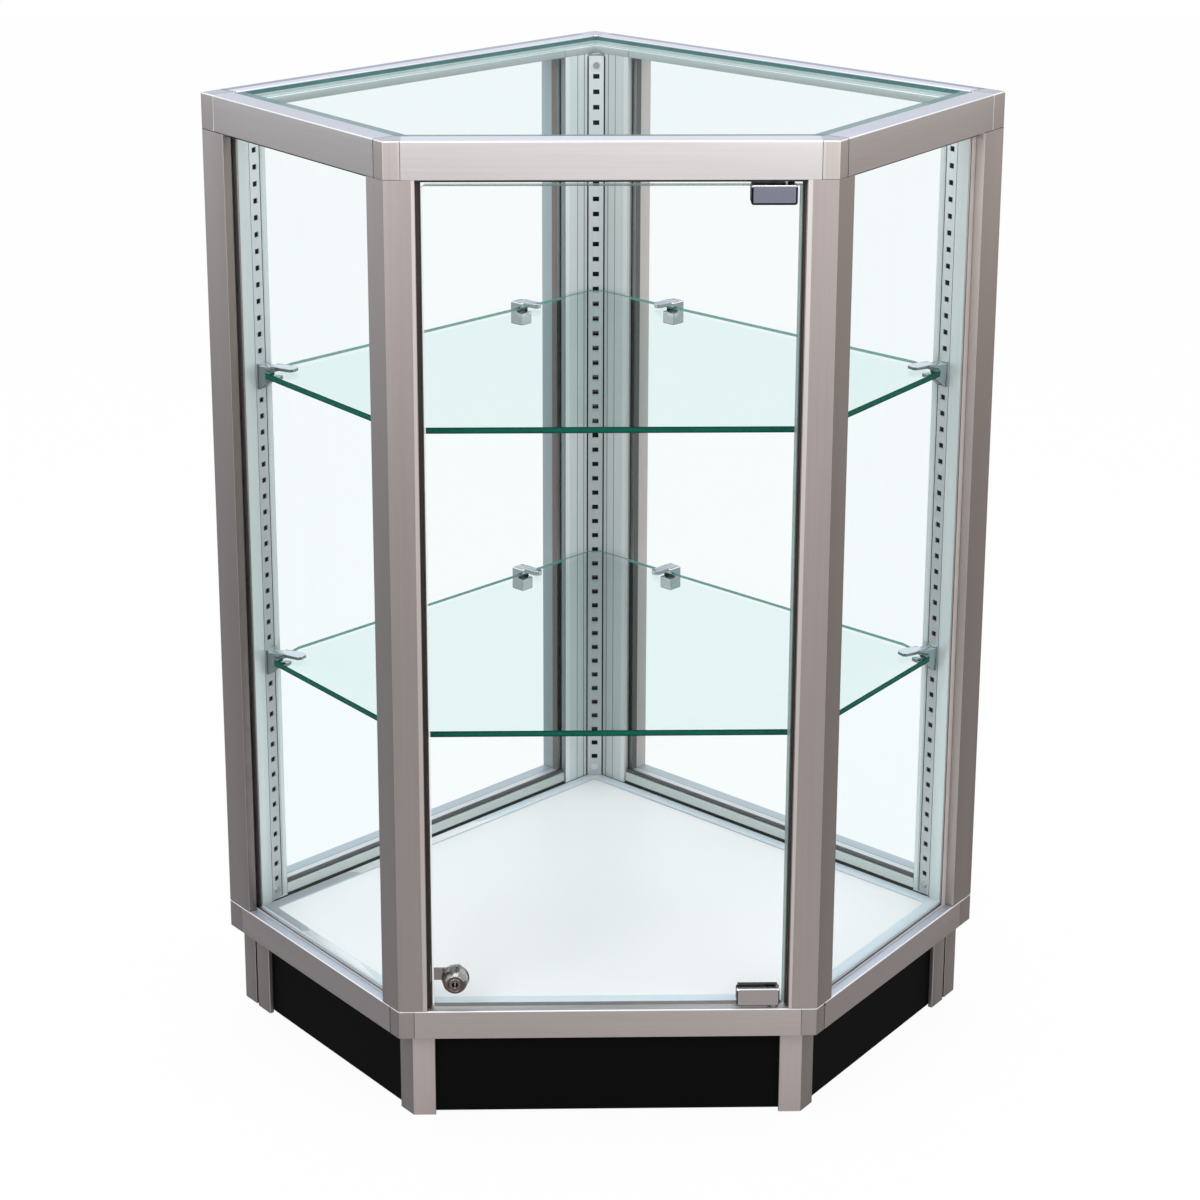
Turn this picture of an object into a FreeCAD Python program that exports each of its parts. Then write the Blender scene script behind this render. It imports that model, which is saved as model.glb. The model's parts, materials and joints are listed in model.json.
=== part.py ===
import FreeCAD, Part
import math
import os

# Corner display case: a framed glass case with a flat door front, two slanted
# flanks and two rear sides that meet in a square corner.
# Lengths are in millimetres and angles in degrees.

# plan of the case
case_height = 965.0
front_width = 404.0
flank_length = 316.0
flank_angle = 54.0
rear_angle = 45.0

# heights of the frame
leg_height = 88.0
bottom_rail_height = 29.0
top_rail_height = 35.0
rear_top_rail_height = 16.0

# frame sections, measured inward from the outer faces
front_depth = 16.0
flank_depth = 16.4
rear_depth = 36.0
rear_sill_depth = 34.0
rear_curb_rise = 12.0
rear_curb_gap = 0.3
top_face_width = 24.0
top_ledge_width = 12.0
top_ledge_thickness = 3.0
deck_ledge_width = 15.0
wall = 2.5
arris_radius = 1.6

# corner blocks and the spigots that hold the rails on them
front_block_arm = 15.2
side_block_arm = 23.5
back_block_arm = 27.0
back_bottom_block_arm = 40.0
spigot_length = 18.0
spigot_fit = 0.3

# glass and its grooves
flank_pane = 5.0
rear_pane = 6.0
top_pane = 6.0
shelf_glass = 6.0
door_glass = 6.0
groove_fit = 0.3
flank_groove_start = 9.2
rear_groove_start = 22.7
sill_groove_depth = 9.0
head_groove_depth = 6.0
rear_head_groove_depth = 5.0
post_groove_depth = 9.0
rear_post_groove_depth = 4.5
pane_edge_gap = 0.8
top_glass_drop = 1.2
top_glass_fit = 0.4
glazing_tape = 0.5
tape_edge_gap = 1.0

# posts
front_post_face = 27.5
side_post_face = 38.5
jamb_strip_setback = 6.0
lock_strip_reach = 3.5
hinge_strip_reach = 2.0
side_jamb_end = 50.0
side_jamb_lip = 33.5
side_jamb_lip_width = 4.2
back_post_arm = 83.0
back_face_offset = 9.5

# slotted shelf standards
standard_width = 16.0
standard_depth = 5.5
standard_wall = 1.2
standard_slot_width = 17.4
standard_turn = 60.0
standard_seat_along = 27.5
standard_foot_gap = 0.3
standard_head_gap = 2.0
slot_width = 6.8
slot_height = 5.2
slot_pitch = 16.7
first_slot_rise = 23.0
slot_head_margin = 22.0
screw_rise = 10.0
screw_radius = 2.2
screw_head_radius = 3.6
screw_head_height = 1.6
screw_length = 3.6

# glass shelves and what carries them
upper_shelf_slot = 33
lower_shelf_slot = 15
slot_above_shelf = 7.0
shelf_front_inset = 44.0
shelf_flank_inset = 35.0
shelf_rear_inset = 39.0
shelf_from_standard = 14.0
shelf_from_back_standard = 2.5
bracket_width = 13.0
bracket_plate = 3.0
bracket_top = 12.0
bracket_foot = 14.0
bracket_web = 12.0
bracket_reach = 22.0
jaw_thickness = 3.6
jaw_fit = 0.3
tongue_length = 26.0
tongue_width = 14.0
tongue_thickness = 3.4
tongue_rise = 1.8
tongue_overlap = 6.0
tongue_taper = 3.0
hook_fit = 0.6
hook_length = 3.8
clip_along = 152.0
clip_width = 16.0
clip_depth = 16.0
clip_below_shelf = 13.0
clip_above_shelf = 11.6
clip_throat = 6.4
clip_tongue_width = 10.0
clip_bevel = 0.8

# floor of the case
deck_thickness = 16.0
deck_fit = 0.4
rim_thickness = 1.6
rim_front_width = 15.6
rim_flank_width = 13.2
rim_rear_start = 36.4
rim_rear_width = 13.6

# legs and kick panels
leg_front_inset = 10.0
leg_flank_inset = 16.0
leg_rear_inset = 1.0
leg_thickness = 4.0
leg_face = 22.0
leg_slot = 4.6
leg_second_face = 23.5
leg_second_step = 1.0
leg_web = 2.0
back_leg_face = 30.0
kick_thickness = 9.0
kick_floor_gap = 3.0

# door
door_setback = 5.0
door_lock_gap = 5.5
door_hinge_gap = 4.5
door_gap_below = 3.0
door_gap_above = 5.0
door_top_chamfer = 3.0
door_bottom_radius = 4.0
pivot_from_edge = 10.0
pivot_radius = 3.0
pivot_clearance = 0.05
pivot_depth = 9.0
pivot_bottom_anchor = 6.0
pivot_top_anchor = 8.0
washer_radius = 4.75
washer_gap = 0.4
clamp_before_pivot = 36.0
clamp_after_pivot = 5.5
clamp_height = 18.0
clamp_plate = 4.5
clamp_pad = 0.5
clamp_pad_inset = 0.8
clamp_chamfer = 1.0
clamp_corner_radius = 2.5
notch_before_pivot = 9.0
notch_after_pivot = 4.5
notch_height = 11.5
notch_fit = 0.4
clamp_screw_radius = 2.5
clamp_screw_height = 1.8
clamp_screw_inset = 9.0

# lock with a sliding bolt
lock_from_edge = 22.0
lock_rise = 31.0
lock_projection = 17.0
lock_flange_radius = 13.5
lock_flange_height = 1.8
lock_barrel_radius = 12.4
lock_barrel_reach = 7.5
lock_shoulder_radius = 11.3
lock_shoulder_reach = 12.5
lock_face_radius = 8.8
lock_neck_radius = 7.5
lock_hole_fit = 0.3
plug_radius = 4.5
plug_clearance = 0.05
plug_face_step = 0.4
plug_collar_radius = 6.0
plug_collar_height = 1.0
key_slot_width = 1.4
key_slot_height = 6.0
key_slot_depth = 4.0
drive_pin_radius = 1.3
drive_slot_fit = 0.9
bolt_throw = 6.0
bolt_height = 12.5
bolt_thickness = 2.0
bolt_tip_inset = 0.8
bolt_tail = 8.0
bolt_fit = 0.3
bolt_gap_behind_glass = 0.8
lock_case_radius = 9.5
lock_case_wall = 1.0
strike_fit = 1.2

# lengths this near count as the same, and a whole turn
match = 0.01
full_turn = 360.0

# derived plan and levels
half_front = front_width / 2
side_x = half_front + flank_length * math.cos(math.radians(flank_angle))
side_y = flank_length * math.sin(math.radians(flank_angle))
back_y = side_y + side_x * math.tan(math.radians(rear_angle))
lock_overhang = lock_projection - door_setback
front_y = (lock_overhang - back_y) / 2
rail_top = leg_height + bottom_rail_height
head_level = case_height - top_rail_height
rear_head_level = case_height - rear_top_rail_height
ledge_top = case_height - top_glass_drop - top_pane - glazing_tape
groove_floor = rail_top - sill_groove_depth
flank_groove_end = flank_groove_start + flank_pane + 2 * groove_fit
rear_groove_end = rear_groove_start + rear_pane + 2 * groove_fit
cavity_floor = head_level + head_groove_depth + wall
deck_top = rail_top - rim_thickness
deck_low = deck_top - deck_thickness
top_inner = top_face_width + top_ledge_width
pad_along = rear_depth + back_face_offset / math.cos(math.radians(rear_angle))
door_left = front_post_face + door_lock_gap - half_front
door_right = half_front - front_post_face - door_hinge_gap
pivot_x = door_right - pivot_from_edge
lock_x = door_left + lock_from_edge
drive_pin_offset = bolt_throw / 2
hook_width = slot_width - 2 * hook_fit
hook_height = slot_height - 2 * hook_fit
curb_top = rail_top + rear_curb_rise
up = FreeCAD.Vector(0, 0, 1)


def plan(x, y):
    return FreeCAD.Vector(x, y + front_y, 0)


front_left = plan(-half_front, 0)
front_right = plan(half_front, 0)
left = plan(-side_x, side_y)
right = plan(side_x, side_y)
back = plan(0, back_y)
middle = plan(0, side_y)


def make_side(start, end):
    run = end - start
    length = run.Length
    run = run * (1 / length)
    inward = FreeCAD.Vector(-run.y, run.x, 0)
    if inward.dot(middle - start) < 0:
        inward = inward * -1
    return {"start": start, "run": run, "inward": inward, "length": length}


front = make_side(front_left, front_right)
flank = make_side(left, front_left)
flank_from_front = make_side(front_left, left)
rear = make_side(back, left)
rear_from_side = make_side(left, back)
right_flank = make_side(front_right, right)
right_rear = make_side(right, back)
ring = [front, right_flank, right_rear, rear, flank]


def spot(side, along, inset):
    return side["start"] + side["run"] * along + side["inward"] * inset


def meet(first, first_inset, second, second_inset):
    a = first["inward"]
    b = second["inward"]
    p = first_inset + a.dot(first["start"])
    q = second_inset + b.dot(second["start"])
    spread = a.x * b.y - a.y * b.x
    return FreeCAD.Vector((p * b.y - q * a.y) / spread, (a.x * q - b.x * p) / spread, 0)


def prism(points, low, high):
    loop = [FreeCAD.Vector(p.x, p.y, low) for p in points]
    loop.append(loop[0])
    return Part.Face(Part.makePolygon(loop)).extrude(up * (high - low))


def bar(side, start, end, outer, inner, low, high):
    corners = [spot(side, start, outer), spot(side, end, outer), spot(side, end, inner), spot(side, start, inner)]
    return prism(corners, low, high)


def box(x_span, y_span, z_span):
    low = FreeCAD.Vector(x_span[0], y_span[0] + front_y, z_span[0])
    return Part.makeBox(x_span[1] - x_span[0], y_span[1] - y_span[0], z_span[1] - z_span[0], low)


def rod(radius, x, y, low, high):
    return Part.makeCylinder(radius, high - low, FreeCAD.Vector(x, y + front_y, low), up)


def rod_along_y(radius, x, z, y_span):
    base = FreeCAD.Vector(x, y_span[0] + front_y, z)
    return Part.makeCylinder(radius, y_span[1] - y_span[0], base, FreeCAD.Vector(0, 1, 0))


def mitred_strip(index, outer, inner, low, high):
    here = ring[index]
    before = ring[index - 1]
    following = (index + 1) % len(ring)
    after = ring[following]
    corners = [
        meet(before, outer[index - 1], here, outer[index]),
        meet(here, outer[index], after, outer[following]),
        meet(here, inner[index], after, inner[following]),
        meet(before, inner[index - 1], here, inner[index]),
    ]
    return prism(corners, low, high)


def panel(insets, low, high):
    corners = [meet(ring[i - 1], insets[i - 1], ring[i], insets[i]) for i in range(len(ring))]
    return prism(corners, low, high)


def around(front_value, flank_value, rear_value):
    return [front_value, flank_value, rear_value, rear_value, flank_value]


def join(shapes):
    whole = shapes[0]
    for shape in shapes[1:]:
        whole = whole.fuse(shape)
    return whole.removeSplitter()


def flip(shape):
    return shape.mirror(FreeCAD.Vector(0, 0, 0), FreeCAD.Vector(1, 0, 0))


def place(shape, anchor, turn):
    moved = shape.copy()
    moved.Placement = FreeCAD.Placement(anchor, FreeCAD.Rotation(up, turn))
    return moved


def round_arris(shape, level):
    edges = []
    for edge in shape.Edges:
        ends = [vertex.Point for vertex in edge.Vertexes]
        flat = all(abs(point.z - level) < match for point in ends)
        for side in ring:
            insets = [side["inward"].dot(point - side["start"]) for point in ends]
            if flat and max(abs(inset) for inset in insets) < match:
                edges.append(edge)
    return shape.makeFillet(arris_radius, edges)


# top frame

top_outer = around(top_face_width, top_face_width, top_face_width)
top_ledge = around(top_inner, top_inner, top_inner)


def top_rail_cavity(side, start, end, fit):
    outer = wall + fit
    inner = top_face_width - wall - fit
    return bar(side, start, end, outer, inner, cavity_floor + fit, case_height - wall - fit)


def top_rail(side, index, start, end):
    rail = bar(side, start, end, 0, top_face_width, head_level, case_height)
    rail = round_arris(rail, case_height)
    rail = rail.cut(top_rail_cavity(side, start, end, 0))
    return join([rail, mitred_strip(index, top_outer, top_ledge, ledge_top - top_ledge_thickness, ledge_top)])


def front_top_rail():
    rail = top_rail(front, 0, front_block_arm, front_width - front_block_arm)
    return rail.cut(rod(pivot_radius, pivot_x, door_middle, head_level, head_level + pivot_top_anchor))


def flank_top_rail():
    end = flank_length - front_block_arm
    rail = top_rail(flank, 4, side_block_arm, end)
    groove = bar(flank, side_block_arm, end, flank_groove_start, flank_groove_end,
                 head_level, head_level + head_groove_depth)
    return rail.cut(groove)


def rear_cavity(start, end, fit):
    inner = rear_groove_start - wall - fit
    return bar(rear, start, end, wall + fit, inner, rear_head_level + wall + fit, case_height - wall - fit)


def rear_head_groove(start, end):
    return bar(rear, start, end, rear_groove_start, rear_groove_end,
               rear_head_level, rear_head_level + rear_head_groove_depth)


def rear_top_rail():
    cap_end = rear["length"] - side_block_arm
    sill_end = rear["length"] - side_jamb_end
    cap = bar(rear, back_block_arm, cap_end, 0, top_face_width, ledge_top, case_height)
    cap = round_arris(cap, case_height)
    sill = bar(rear, back_post_arm, sill_end, 0, rear_depth, rear_head_level, ledge_top)
    rail = join([cap, sill])
    rail = rail.cut(rear_cavity(back_block_arm, cap_end, 0))
    return rail.cut(rear_head_groove(back_post_arm, sill_end))


def top_spigot(side, arm):
    return top_rail_cavity(side, arm - wall, arm + spigot_length, spigot_fit)


def front_top_corner():
    block = join([
        bar(front, 0, front_block_arm, 0, top_face_width, head_level, case_height),
        bar(flank_from_front, 0, front_block_arm, 0, top_face_width, head_level, case_height),
    ])
    block = round_arris(block, case_height)
    for side in (front, flank_from_front):
        block = block.cut(bar(side, front_block_arm, flank_length, 0, top_face_width, head_level, case_height))
    return join([block, top_spigot(front, front_block_arm), top_spigot(flank_from_front, front_block_arm)])


def rear_spigot(side, arm):
    inner = rear_groove_start - wall - spigot_fit
    return bar(side, arm - wall, arm + spigot_length, wall + spigot_fit, inner,
               ledge_top, case_height - wall - spigot_fit)


def side_top_corner():
    block = join([
        bar(flank, 0, side_block_arm, 0, top_face_width, head_level, case_height),
        bar(rear_from_side, 0, side_block_arm, 0, top_face_width, ledge_top, case_height),
    ])
    block = round_arris(block, case_height)
    block = block.cut(bar(rear_from_side, side_block_arm, flank_length, 0, top_face_width, ledge_top, case_height))
    shoulder = bar(rear_from_side, 0, side_jamb_end, 0, rear_depth, rear_head_level, ledge_top)
    block = join([block, shoulder, rear_spigot(rear_from_side, side_block_arm)])
    block = block.cut(flank_head_envelope())
    block = block.cut(rear_head_groove(rear["length"] - side_jamb_end, rear["length"] - side_jamb_end
                                       + rear_post_groove_depth))
    return join([block, top_spigot(flank, side_block_arm)])


def flank_head_envelope():
    body = bar(flank, side_block_arm, flank_length, 0, top_face_width, head_level, case_height)
    return body.fuse(mitred_strip(4, top_outer, top_ledge, ledge_top - top_ledge_thickness, ledge_top))


def back_top_corner():
    cap = bar(rear, 0, back_block_arm, 0, top_face_width, ledge_top, case_height)
    cap = round_arris(join([cap, flip(cap)]), case_height)
    shoulder = bar(rear, 0, back_post_arm, 0, rear_depth, rear_head_level, ledge_top)
    groove = rear_head_groove(back_post_arm - rear_post_groove_depth, back_post_arm)
    shoulder = shoulder.cut(groove)
    shoulder = join([shoulder, flip(shoulder)])
    spigot = rear_spigot(rear, back_block_arm)
    return join([cap, shoulder, spigot, flip(spigot)])


def top_glass():
    inset = top_face_width + top_glass_fit
    low = ledge_top + glazing_tape
    return panel(around(inset, inset, inset), low, low + top_pane)


def glazing_tapes():
    outer = [inset + tape_edge_gap for inset in top_outer]
    inner = [inset - tape_edge_gap for inset in top_ledge]
    high = ledge_top + glazing_tape
    return Part.makeCompound([mitred_strip(i, outer, inner, ledge_top, high) for i in range(len(ring))])


# bottom frame

sill_inner = around(front_depth, flank_depth, rear_sill_depth)
deck_ledge = [depth + deck_ledge_width for depth in sill_inner]


def sill_cavity(side, start, end, inner, ceiling, fit):
    return bar(side, start, end, wall + fit, inner - fit, leg_height + wall + fit, ceiling - fit)


def front_sill_cavity(side, start, end, fit):
    return sill_cavity(side, start, end, front_depth - wall, rail_top - wall, fit)


def flank_sill_cavity(side, start, end, fit):
    return sill_cavity(side, start, end, flank_depth - wall, groove_floor - wall, fit)


def rear_sill_cavity(side, start, end, fit):
    return sill_cavity(side, start, end, rear_groove_start - wall, rail_top - wall, fit)


def bottom_rail(side, index, start, end, depth):
    rail = bar(side, start, end, 0, depth, leg_height, rail_top)
    rail = round_arris(rail, rail_top)
    ledge = mitred_strip(index, sill_inner, deck_ledge, leg_height, deck_low)
    return join([rail, ledge])


def front_bottom_rail():
    start = front_block_arm
    end = front_width - front_block_arm
    rail = bottom_rail(front, 0, start, end, front_depth)
    rail = rail.cut(front_sill_cavity(front, start, end, 0))
    return rail.cut(rod(pivot_radius, pivot_x, door_middle, rail_top - pivot_bottom_anchor, rail_top))


def flank_bottom_rail():
    start = side_block_arm
    end = flank_length - front_block_arm
    rail = bottom_rail(flank, 4, start, end, flank_depth)
    rail = rail.cut(flank_sill_cavity(flank, start, end, 0))
    return rail.cut(bar(flank, start, end, flank_groove_start, flank_groove_end, groove_floor, rail_top))


def rear_bottom_rail():
    start = back_bottom_block_arm
    end = rear["length"] - side_block_arm
    rail = bottom_rail(rear, 3, start, end, rear_sill_depth)
    rail = rail.cut(rear_sill_cavity(rear, start, end, 0))
    curb_start = back_post_arm + rear_curb_gap
    curb_end = rear["length"] - side_jamb_end - rear_curb_gap
    curb = bar(rear, curb_start, curb_end, 0, rear_sill_depth, rail_top, curb_top)
    curb_core = bar(rear, curb_start, curb_end, wall, rear_groove_start - wall, rail_top, curb_top - wall)
    rail = join([rail, curb.cut(curb_core)])
    return rail.cut(bar(rear, start, end, rear_groove_start, rear_groove_end, groove_floor, curb_top))


def front_bottom_corner():
    arm = front_block_arm
    block = join([
        bar(front, 0, arm, 0, front_depth, leg_height, rail_top),
        bar(flank_from_front, 0, arm, 0, flank_depth, leg_height, rail_top),
    ])
    block = round_arris(block, rail_top)
    return join([
        block,
        front_sill_cavity(front, arm - wall, arm + spigot_length, spigot_fit),
        flank_sill_cavity(flank_from_front, arm - wall, arm + spigot_length, spigot_fit),
    ])


def side_bottom_corner():
    arm = side_block_arm
    block = join([
        bar(flank, 0, arm, 0, flank_depth, leg_height, rail_top),
        bar(rear_from_side, 0, arm, 0, rear_sill_depth, leg_height, rail_top),
    ])
    block = round_arris(block, rail_top)
    block = block.cut(bar(flank, arm, flank_length, 0, flank_depth, leg_height, rail_top))
    return join([
        block,
        flank_sill_cavity(flank, arm - wall, arm + spigot_length, spigot_fit),
        rear_sill_cavity(rear_from_side, arm - wall, arm + spigot_length, spigot_fit),
    ])


def back_bottom_corner():
    arm = back_bottom_block_arm
    block = bar(rear, 0, arm, 0, rear_sill_depth, leg_height, rail_top)
    block = round_arris(join([block, flip(block)]), rail_top)
    spigot = rear_sill_cavity(rear, arm - wall, arm + spigot_length, spigot_fit)
    return join([block, spigot, flip(spigot)])


# posts

def flank_post_groove(side, face):
    return bar(side, face - post_groove_depth, face, flank_groove_start, flank_groove_end, rail_top, head_level)


def front_post(strip_reach):
    face = front_post_face
    strip_end = face + strip_reach
    post = join([
        bar(front, 0, face, 0, front_depth, rail_top, head_level),
        bar(flank_from_front, 0, face, 0, flank_depth, rail_top, head_level),
        bar(front, face, strip_end, jamb_strip_setback, front_depth, rail_top, head_level),
    ])
    post = post.cut(flank_post_groove(flank_from_front, face))
    core_end = face - post_groove_depth - wall
    core = bar(front, 3 * wall, face - wall, wall, front_depth - wall, rail_top, head_level)
    core = core.fuse(bar(flank_from_front, 2 * wall, core_end, wall, flank_depth - wall, rail_top, head_level))
    return post.cut(core)


def lock_post():
    tip = front_post_face - half_front + lock_strip_reach
    strike = box((bolt_x[0] - bolt_throw - strike_fit, tip + strike_fit),
                 (bolt_front - strike_fit, bolt_front + bolt_thickness + strike_fit),
                 (lock_z - bolt_height / 2 - strike_fit, lock_z + bolt_height / 2 + strike_fit))
    return front_post(lock_strip_reach).cut(strike)


def side_post():
    post = bar(flank, 0, side_post_face, 0, flank_depth, rail_top, head_level)
    post = post.cut(flank_post_groove(flank, side_post_face))
    core_end = side_post_face - post_groove_depth - wall
    return post.cut(bar(flank, 2 * wall, core_end, wall, flank_depth - wall, rail_top, head_level))


standard_run = FreeCAD.Rotation(up, standard_turn).multVec(FreeCAD.Vector(1, 0, 0))
standard_facing = FreeCAD.Rotation(up, standard_turn).multVec(FreeCAD.Vector(0, -1, 0))
seat_start = spot(rear_from_side, standard_seat_along, rear_depth)
seat_end = seat_start + standard_run * standard_slot_width
side_standard_anchor = (seat_start + seat_end) * 0.5
back_standard_anchor = plan(0, back_y - (rear_depth + pad_along) * math.sin(math.radians(rear_angle)))


def side_rear_post():
    sunk = standard_facing * -standard_depth
    lip_start = side_jamb_end - side_jamb_lip_width
    outline = [
        meet(flank, flank_depth, rear_from_side, 0),
        spot(rear_from_side, side_jamb_end, 0),
        spot(rear_from_side, side_jamb_end, side_jamb_lip),
        spot(rear_from_side, lip_start, side_jamb_lip),
        seat_end,
        seat_end + sunk,
        seat_start + sunk,
        seat_start,
        spot(flank, side_post_face, flank_depth),
    ]
    post = prism(outline, rail_top, rear_head_level)
    groove = bar(rear_from_side, side_jamb_end - rear_post_groove_depth, side_jamb_end,
                 rear_groove_start, rear_groove_end, rail_top, rear_head_level)
    core = bar(rear_from_side, flank_depth + 2 * wall, lip_start - wall, wall,
               rear_groove_start - wall, rail_top, rear_head_level)
    post = post.cut(groove)
    post = post.cut(core)
    post = post.cut(bar(flank, 0, side_block_arm, 0, top_face_width, head_level, case_height))
    return post.cut(flank_head_envelope())


def back_post():
    arm = bar(rear, 0, back_post_arm, 0, rear_depth, rail_top, rear_head_level)
    groove = bar(rear, back_post_arm - rear_post_groove_depth, back_post_arm,
                 rear_groove_start, rear_groove_end, rail_top, rear_head_level)
    core_end = back_post_arm - wall
    core = bar(rear, 2 * wall, core_end, wall, rear_groove_start - wall, rail_top, rear_head_level)
    inner_core = bar(rear, pad_along + 2 * wall, back_post_arm - rear_post_groove_depth - wall,
                     rear_groove_start, rear_depth - wall, rail_top, rear_head_level)
    pad_corner = spot(rear, pad_along, rear_depth)
    pad = prism([spot(rear, rear_depth, rear_depth), pad_corner, FreeCAD.Vector(-pad_corner.x, pad_corner.y, 0)],
                rail_top, rear_head_level)
    post = join([arm, flip(arm), pad])
    for hollow in (groove, core, inner_core):
        post = post.cut(hollow)
        post = post.cut(flip(hollow))
    seat = Part.makeBox(standard_slot_width, standard_depth, rear_head_level - rail_top,
                        FreeCAD.Vector(-standard_slot_width / 2, back_standard_anchor.y, rail_top))
    return post.cut(seat)


# panes

def flank_glass():
    start = side_post_face - post_groove_depth + pane_edge_gap
    end = flank_length - front_post_face + post_groove_depth - pane_edge_gap
    outer = flank_groove_start + groove_fit
    return bar(flank, start, end, outer, outer + flank_pane, groove_floor,
               head_level + head_groove_depth - pane_edge_gap)


def rear_glass():
    start = back_post_arm - rear_post_groove_depth + pane_edge_gap
    end = rear["length"] - side_jamb_end + rear_post_groove_depth - pane_edge_gap
    outer = rear_groove_start + groove_fit
    return bar(rear, start, end, outer, outer + rear_pane, groove_floor,
               rear_head_level + rear_head_groove_depth - pane_edge_gap)


# shelf standards, built facing -Y at the origin and then set in their seats

standard_low = rail_top + standard_foot_gap
standard_high = rear_head_level - standard_head_gap
screw_levels = [standard_low + screw_rise, standard_high - screw_rise]
first_slot = rail_top + first_slot_rise
slot_count = int((standard_high - slot_head_margin - first_slot) // slot_pitch) + 1


def slot_level(number):
    return first_slot + slot_pitch * number


def standard():
    half = standard_width / 2
    height = standard_high - standard_low
    channel = Part.makeBox(standard_width, standard_depth, height, FreeCAD.Vector(-half, 0, standard_low))
    hollow = Part.makeBox(standard_width - 2 * standard_wall, standard_depth, height,
                          FreeCAD.Vector(standard_wall - half, standard_wall, standard_low))
    holes = []
    for number in range(slot_count):
        corner = FreeCAD.Vector(-slot_width / 2, 0, slot_level(number) - slot_height / 2)
        holes.append(Part.makeBox(slot_width, standard_wall, slot_height, corner))
    for level in screw_levels:
        base = FreeCAD.Vector(0, 0, level)
        holes.append(Part.makeCylinder(screw_radius + groove_fit, standard_wall, base, FreeCAD.Vector(0, 1, 0)))
    return channel.cut(hollow).cut(Part.makeCompound(holes))


def standard_screws():
    screws = []
    for level in screw_levels:
        head = Part.makeCylinder(screw_head_radius, screw_head_height, FreeCAD.Vector(0, -screw_head_height, level),
                                 FreeCAD.Vector(0, 1, 0))
        shank = Part.makeCylinder(screw_radius, screw_length, FreeCAD.Vector(0, 0, level), FreeCAD.Vector(0, 1, 0))
        screws.append(join([head, shank]))
    return Part.makeCompound(screws)


# shelves and their supports

def shelf_level(slot_number):
    return slot_level(slot_number) - slot_above_shelf


def shelf(slot_number):
    low = shelf_level(slot_number)
    glass = panel(around(shelf_front_inset, shelf_flank_inset, shelf_rear_inset), low, low + shelf_glass)
    span = front_width
    corner = FreeCAD.Vector(-span / 2, -shelf_from_standard, low - shelf_glass)
    relief = place(Part.makeBox(span, span, 3 * shelf_glass, corner), side_standard_anchor, standard_turn)
    back_corner = FreeCAD.Vector(-span / 2, back_standard_anchor.y - shelf_from_back_standard, low - shelf_glass)
    back_relief = Part.makeBox(span, span, 3 * shelf_glass, back_corner)
    for cutter in (relief, flip(relief), back_relief):
        glass = glass.cut(cutter)
    return glass


def tongue_outline(width, start):
    half = width / 2
    end = start + tongue_length
    return [
        (-half, start),
        (-half, end - tongue_taper),
        (tongue_taper - half, end),
        (half - tongue_taper, end),
        (half, end - tongue_taper),
        (half, start),
    ]


def bracket(slot_number):
    low = shelf_level(slot_number)
    jaw_low = low + shelf_glass + jaw_fit
    jaw_high = jaw_low + jaw_thickness
    side_view = [
        (0, low - bracket_foot),
        (bracket_plate, low - bracket_foot),
        (bracket_web + jaw_thickness, low - jaw_thickness),
        (bracket_reach, low - jaw_thickness),
        (bracket_reach, low),
        (bracket_web, low),
        (bracket_web, jaw_low),
        (bracket_reach, jaw_low),
        (bracket_reach, jaw_high),
        (bracket_plate, jaw_high),
        (bracket_plate, low + bracket_top),
        (0, low + bracket_top),
    ]
    loop = [FreeCAD.Vector(-bracket_width / 2, -reach, level) for reach, level in side_view]
    loop.append(loop[0])
    body = Part.Face(Part.makePolygon(loop)).extrude(FreeCAD.Vector(bracket_width, 0, 0))
    outline = tongue_outline(tongue_width, bracket_reach - tongue_overlap)
    tongue_low = jaw_low + tongue_rise
    tongue = prism([FreeCAD.Vector(across, -reach, 0) for across, reach in outline],
                   tongue_low, tongue_low + tongue_thickness)
    pieces = [body, tongue]
    for level in (low + slot_above_shelf, low + slot_above_shelf - slot_pitch):
        corner = FreeCAD.Vector(-hook_width / 2, -bracket_plate, level - hook_height / 2)
        pieces.append(Part.makeBox(hook_width, bracket_plate + hook_length, hook_height, corner))
    return place(join(pieces), side_standard_anchor, standard_turn)


def clip(slot_number):
    low = shelf_level(slot_number)
    face = rear_groove_start + groove_fit + rear_pane
    start = clip_along - clip_width / 2
    end = clip_along + clip_width / 2
    front_face = face + clip_depth
    jaw_low = low + shelf_glass + jaw_fit
    high = low + clip_above_shelf
    block = bar(rear, start, end, face, front_face, low - clip_below_shelf, high)
    inset_of_face = face + rear["inward"].dot(rear["start"])
    free_edges = []
    for edge in block.Edges:
        insets = [rear["inward"].dot(vertex.Point) for vertex in edge.Vertexes]
        if max(insets) > inset_of_face + match:
            free_edges.append(edge)
    block = block.makeChamfer(clip_bevel, free_edges)
    throat = bar(rear, start, end, front_face - clip_throat, front_face, low, jaw_low)
    outline = tongue_outline(clip_tongue_width, front_face - clip_throat)
    tongue = prism([spot(rear, clip_along + across, reach) for across, reach in outline],
                   high - tongue_thickness, high + tongue_rise - jaw_fit)
    return join([block.cut(throat), tongue])


# floor of the case

rim_outer = [front_depth + deck_fit, flank_depth + deck_fit, rim_rear_start, rim_rear_start, flank_depth + deck_fit]
rim_inner = [
    rim_outer[0] + rim_front_width,
    rim_outer[1] + rim_flank_width,
    rim_outer[2] + rim_rear_width,
    rim_outer[3] + rim_rear_width,
    rim_outer[4] + rim_flank_width,
]


def deck_panel():
    insets = [depth + deck_fit for depth in sill_inner]
    return panel(insets, deck_low, deck_top)


def deck_rims():
    strips = [mitred_strip(i, rim_outer, rim_inner, deck_top, rail_top) for i in range(len(ring))]
    return Part.makeCompound(strips)


# legs and kick panels

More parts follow.
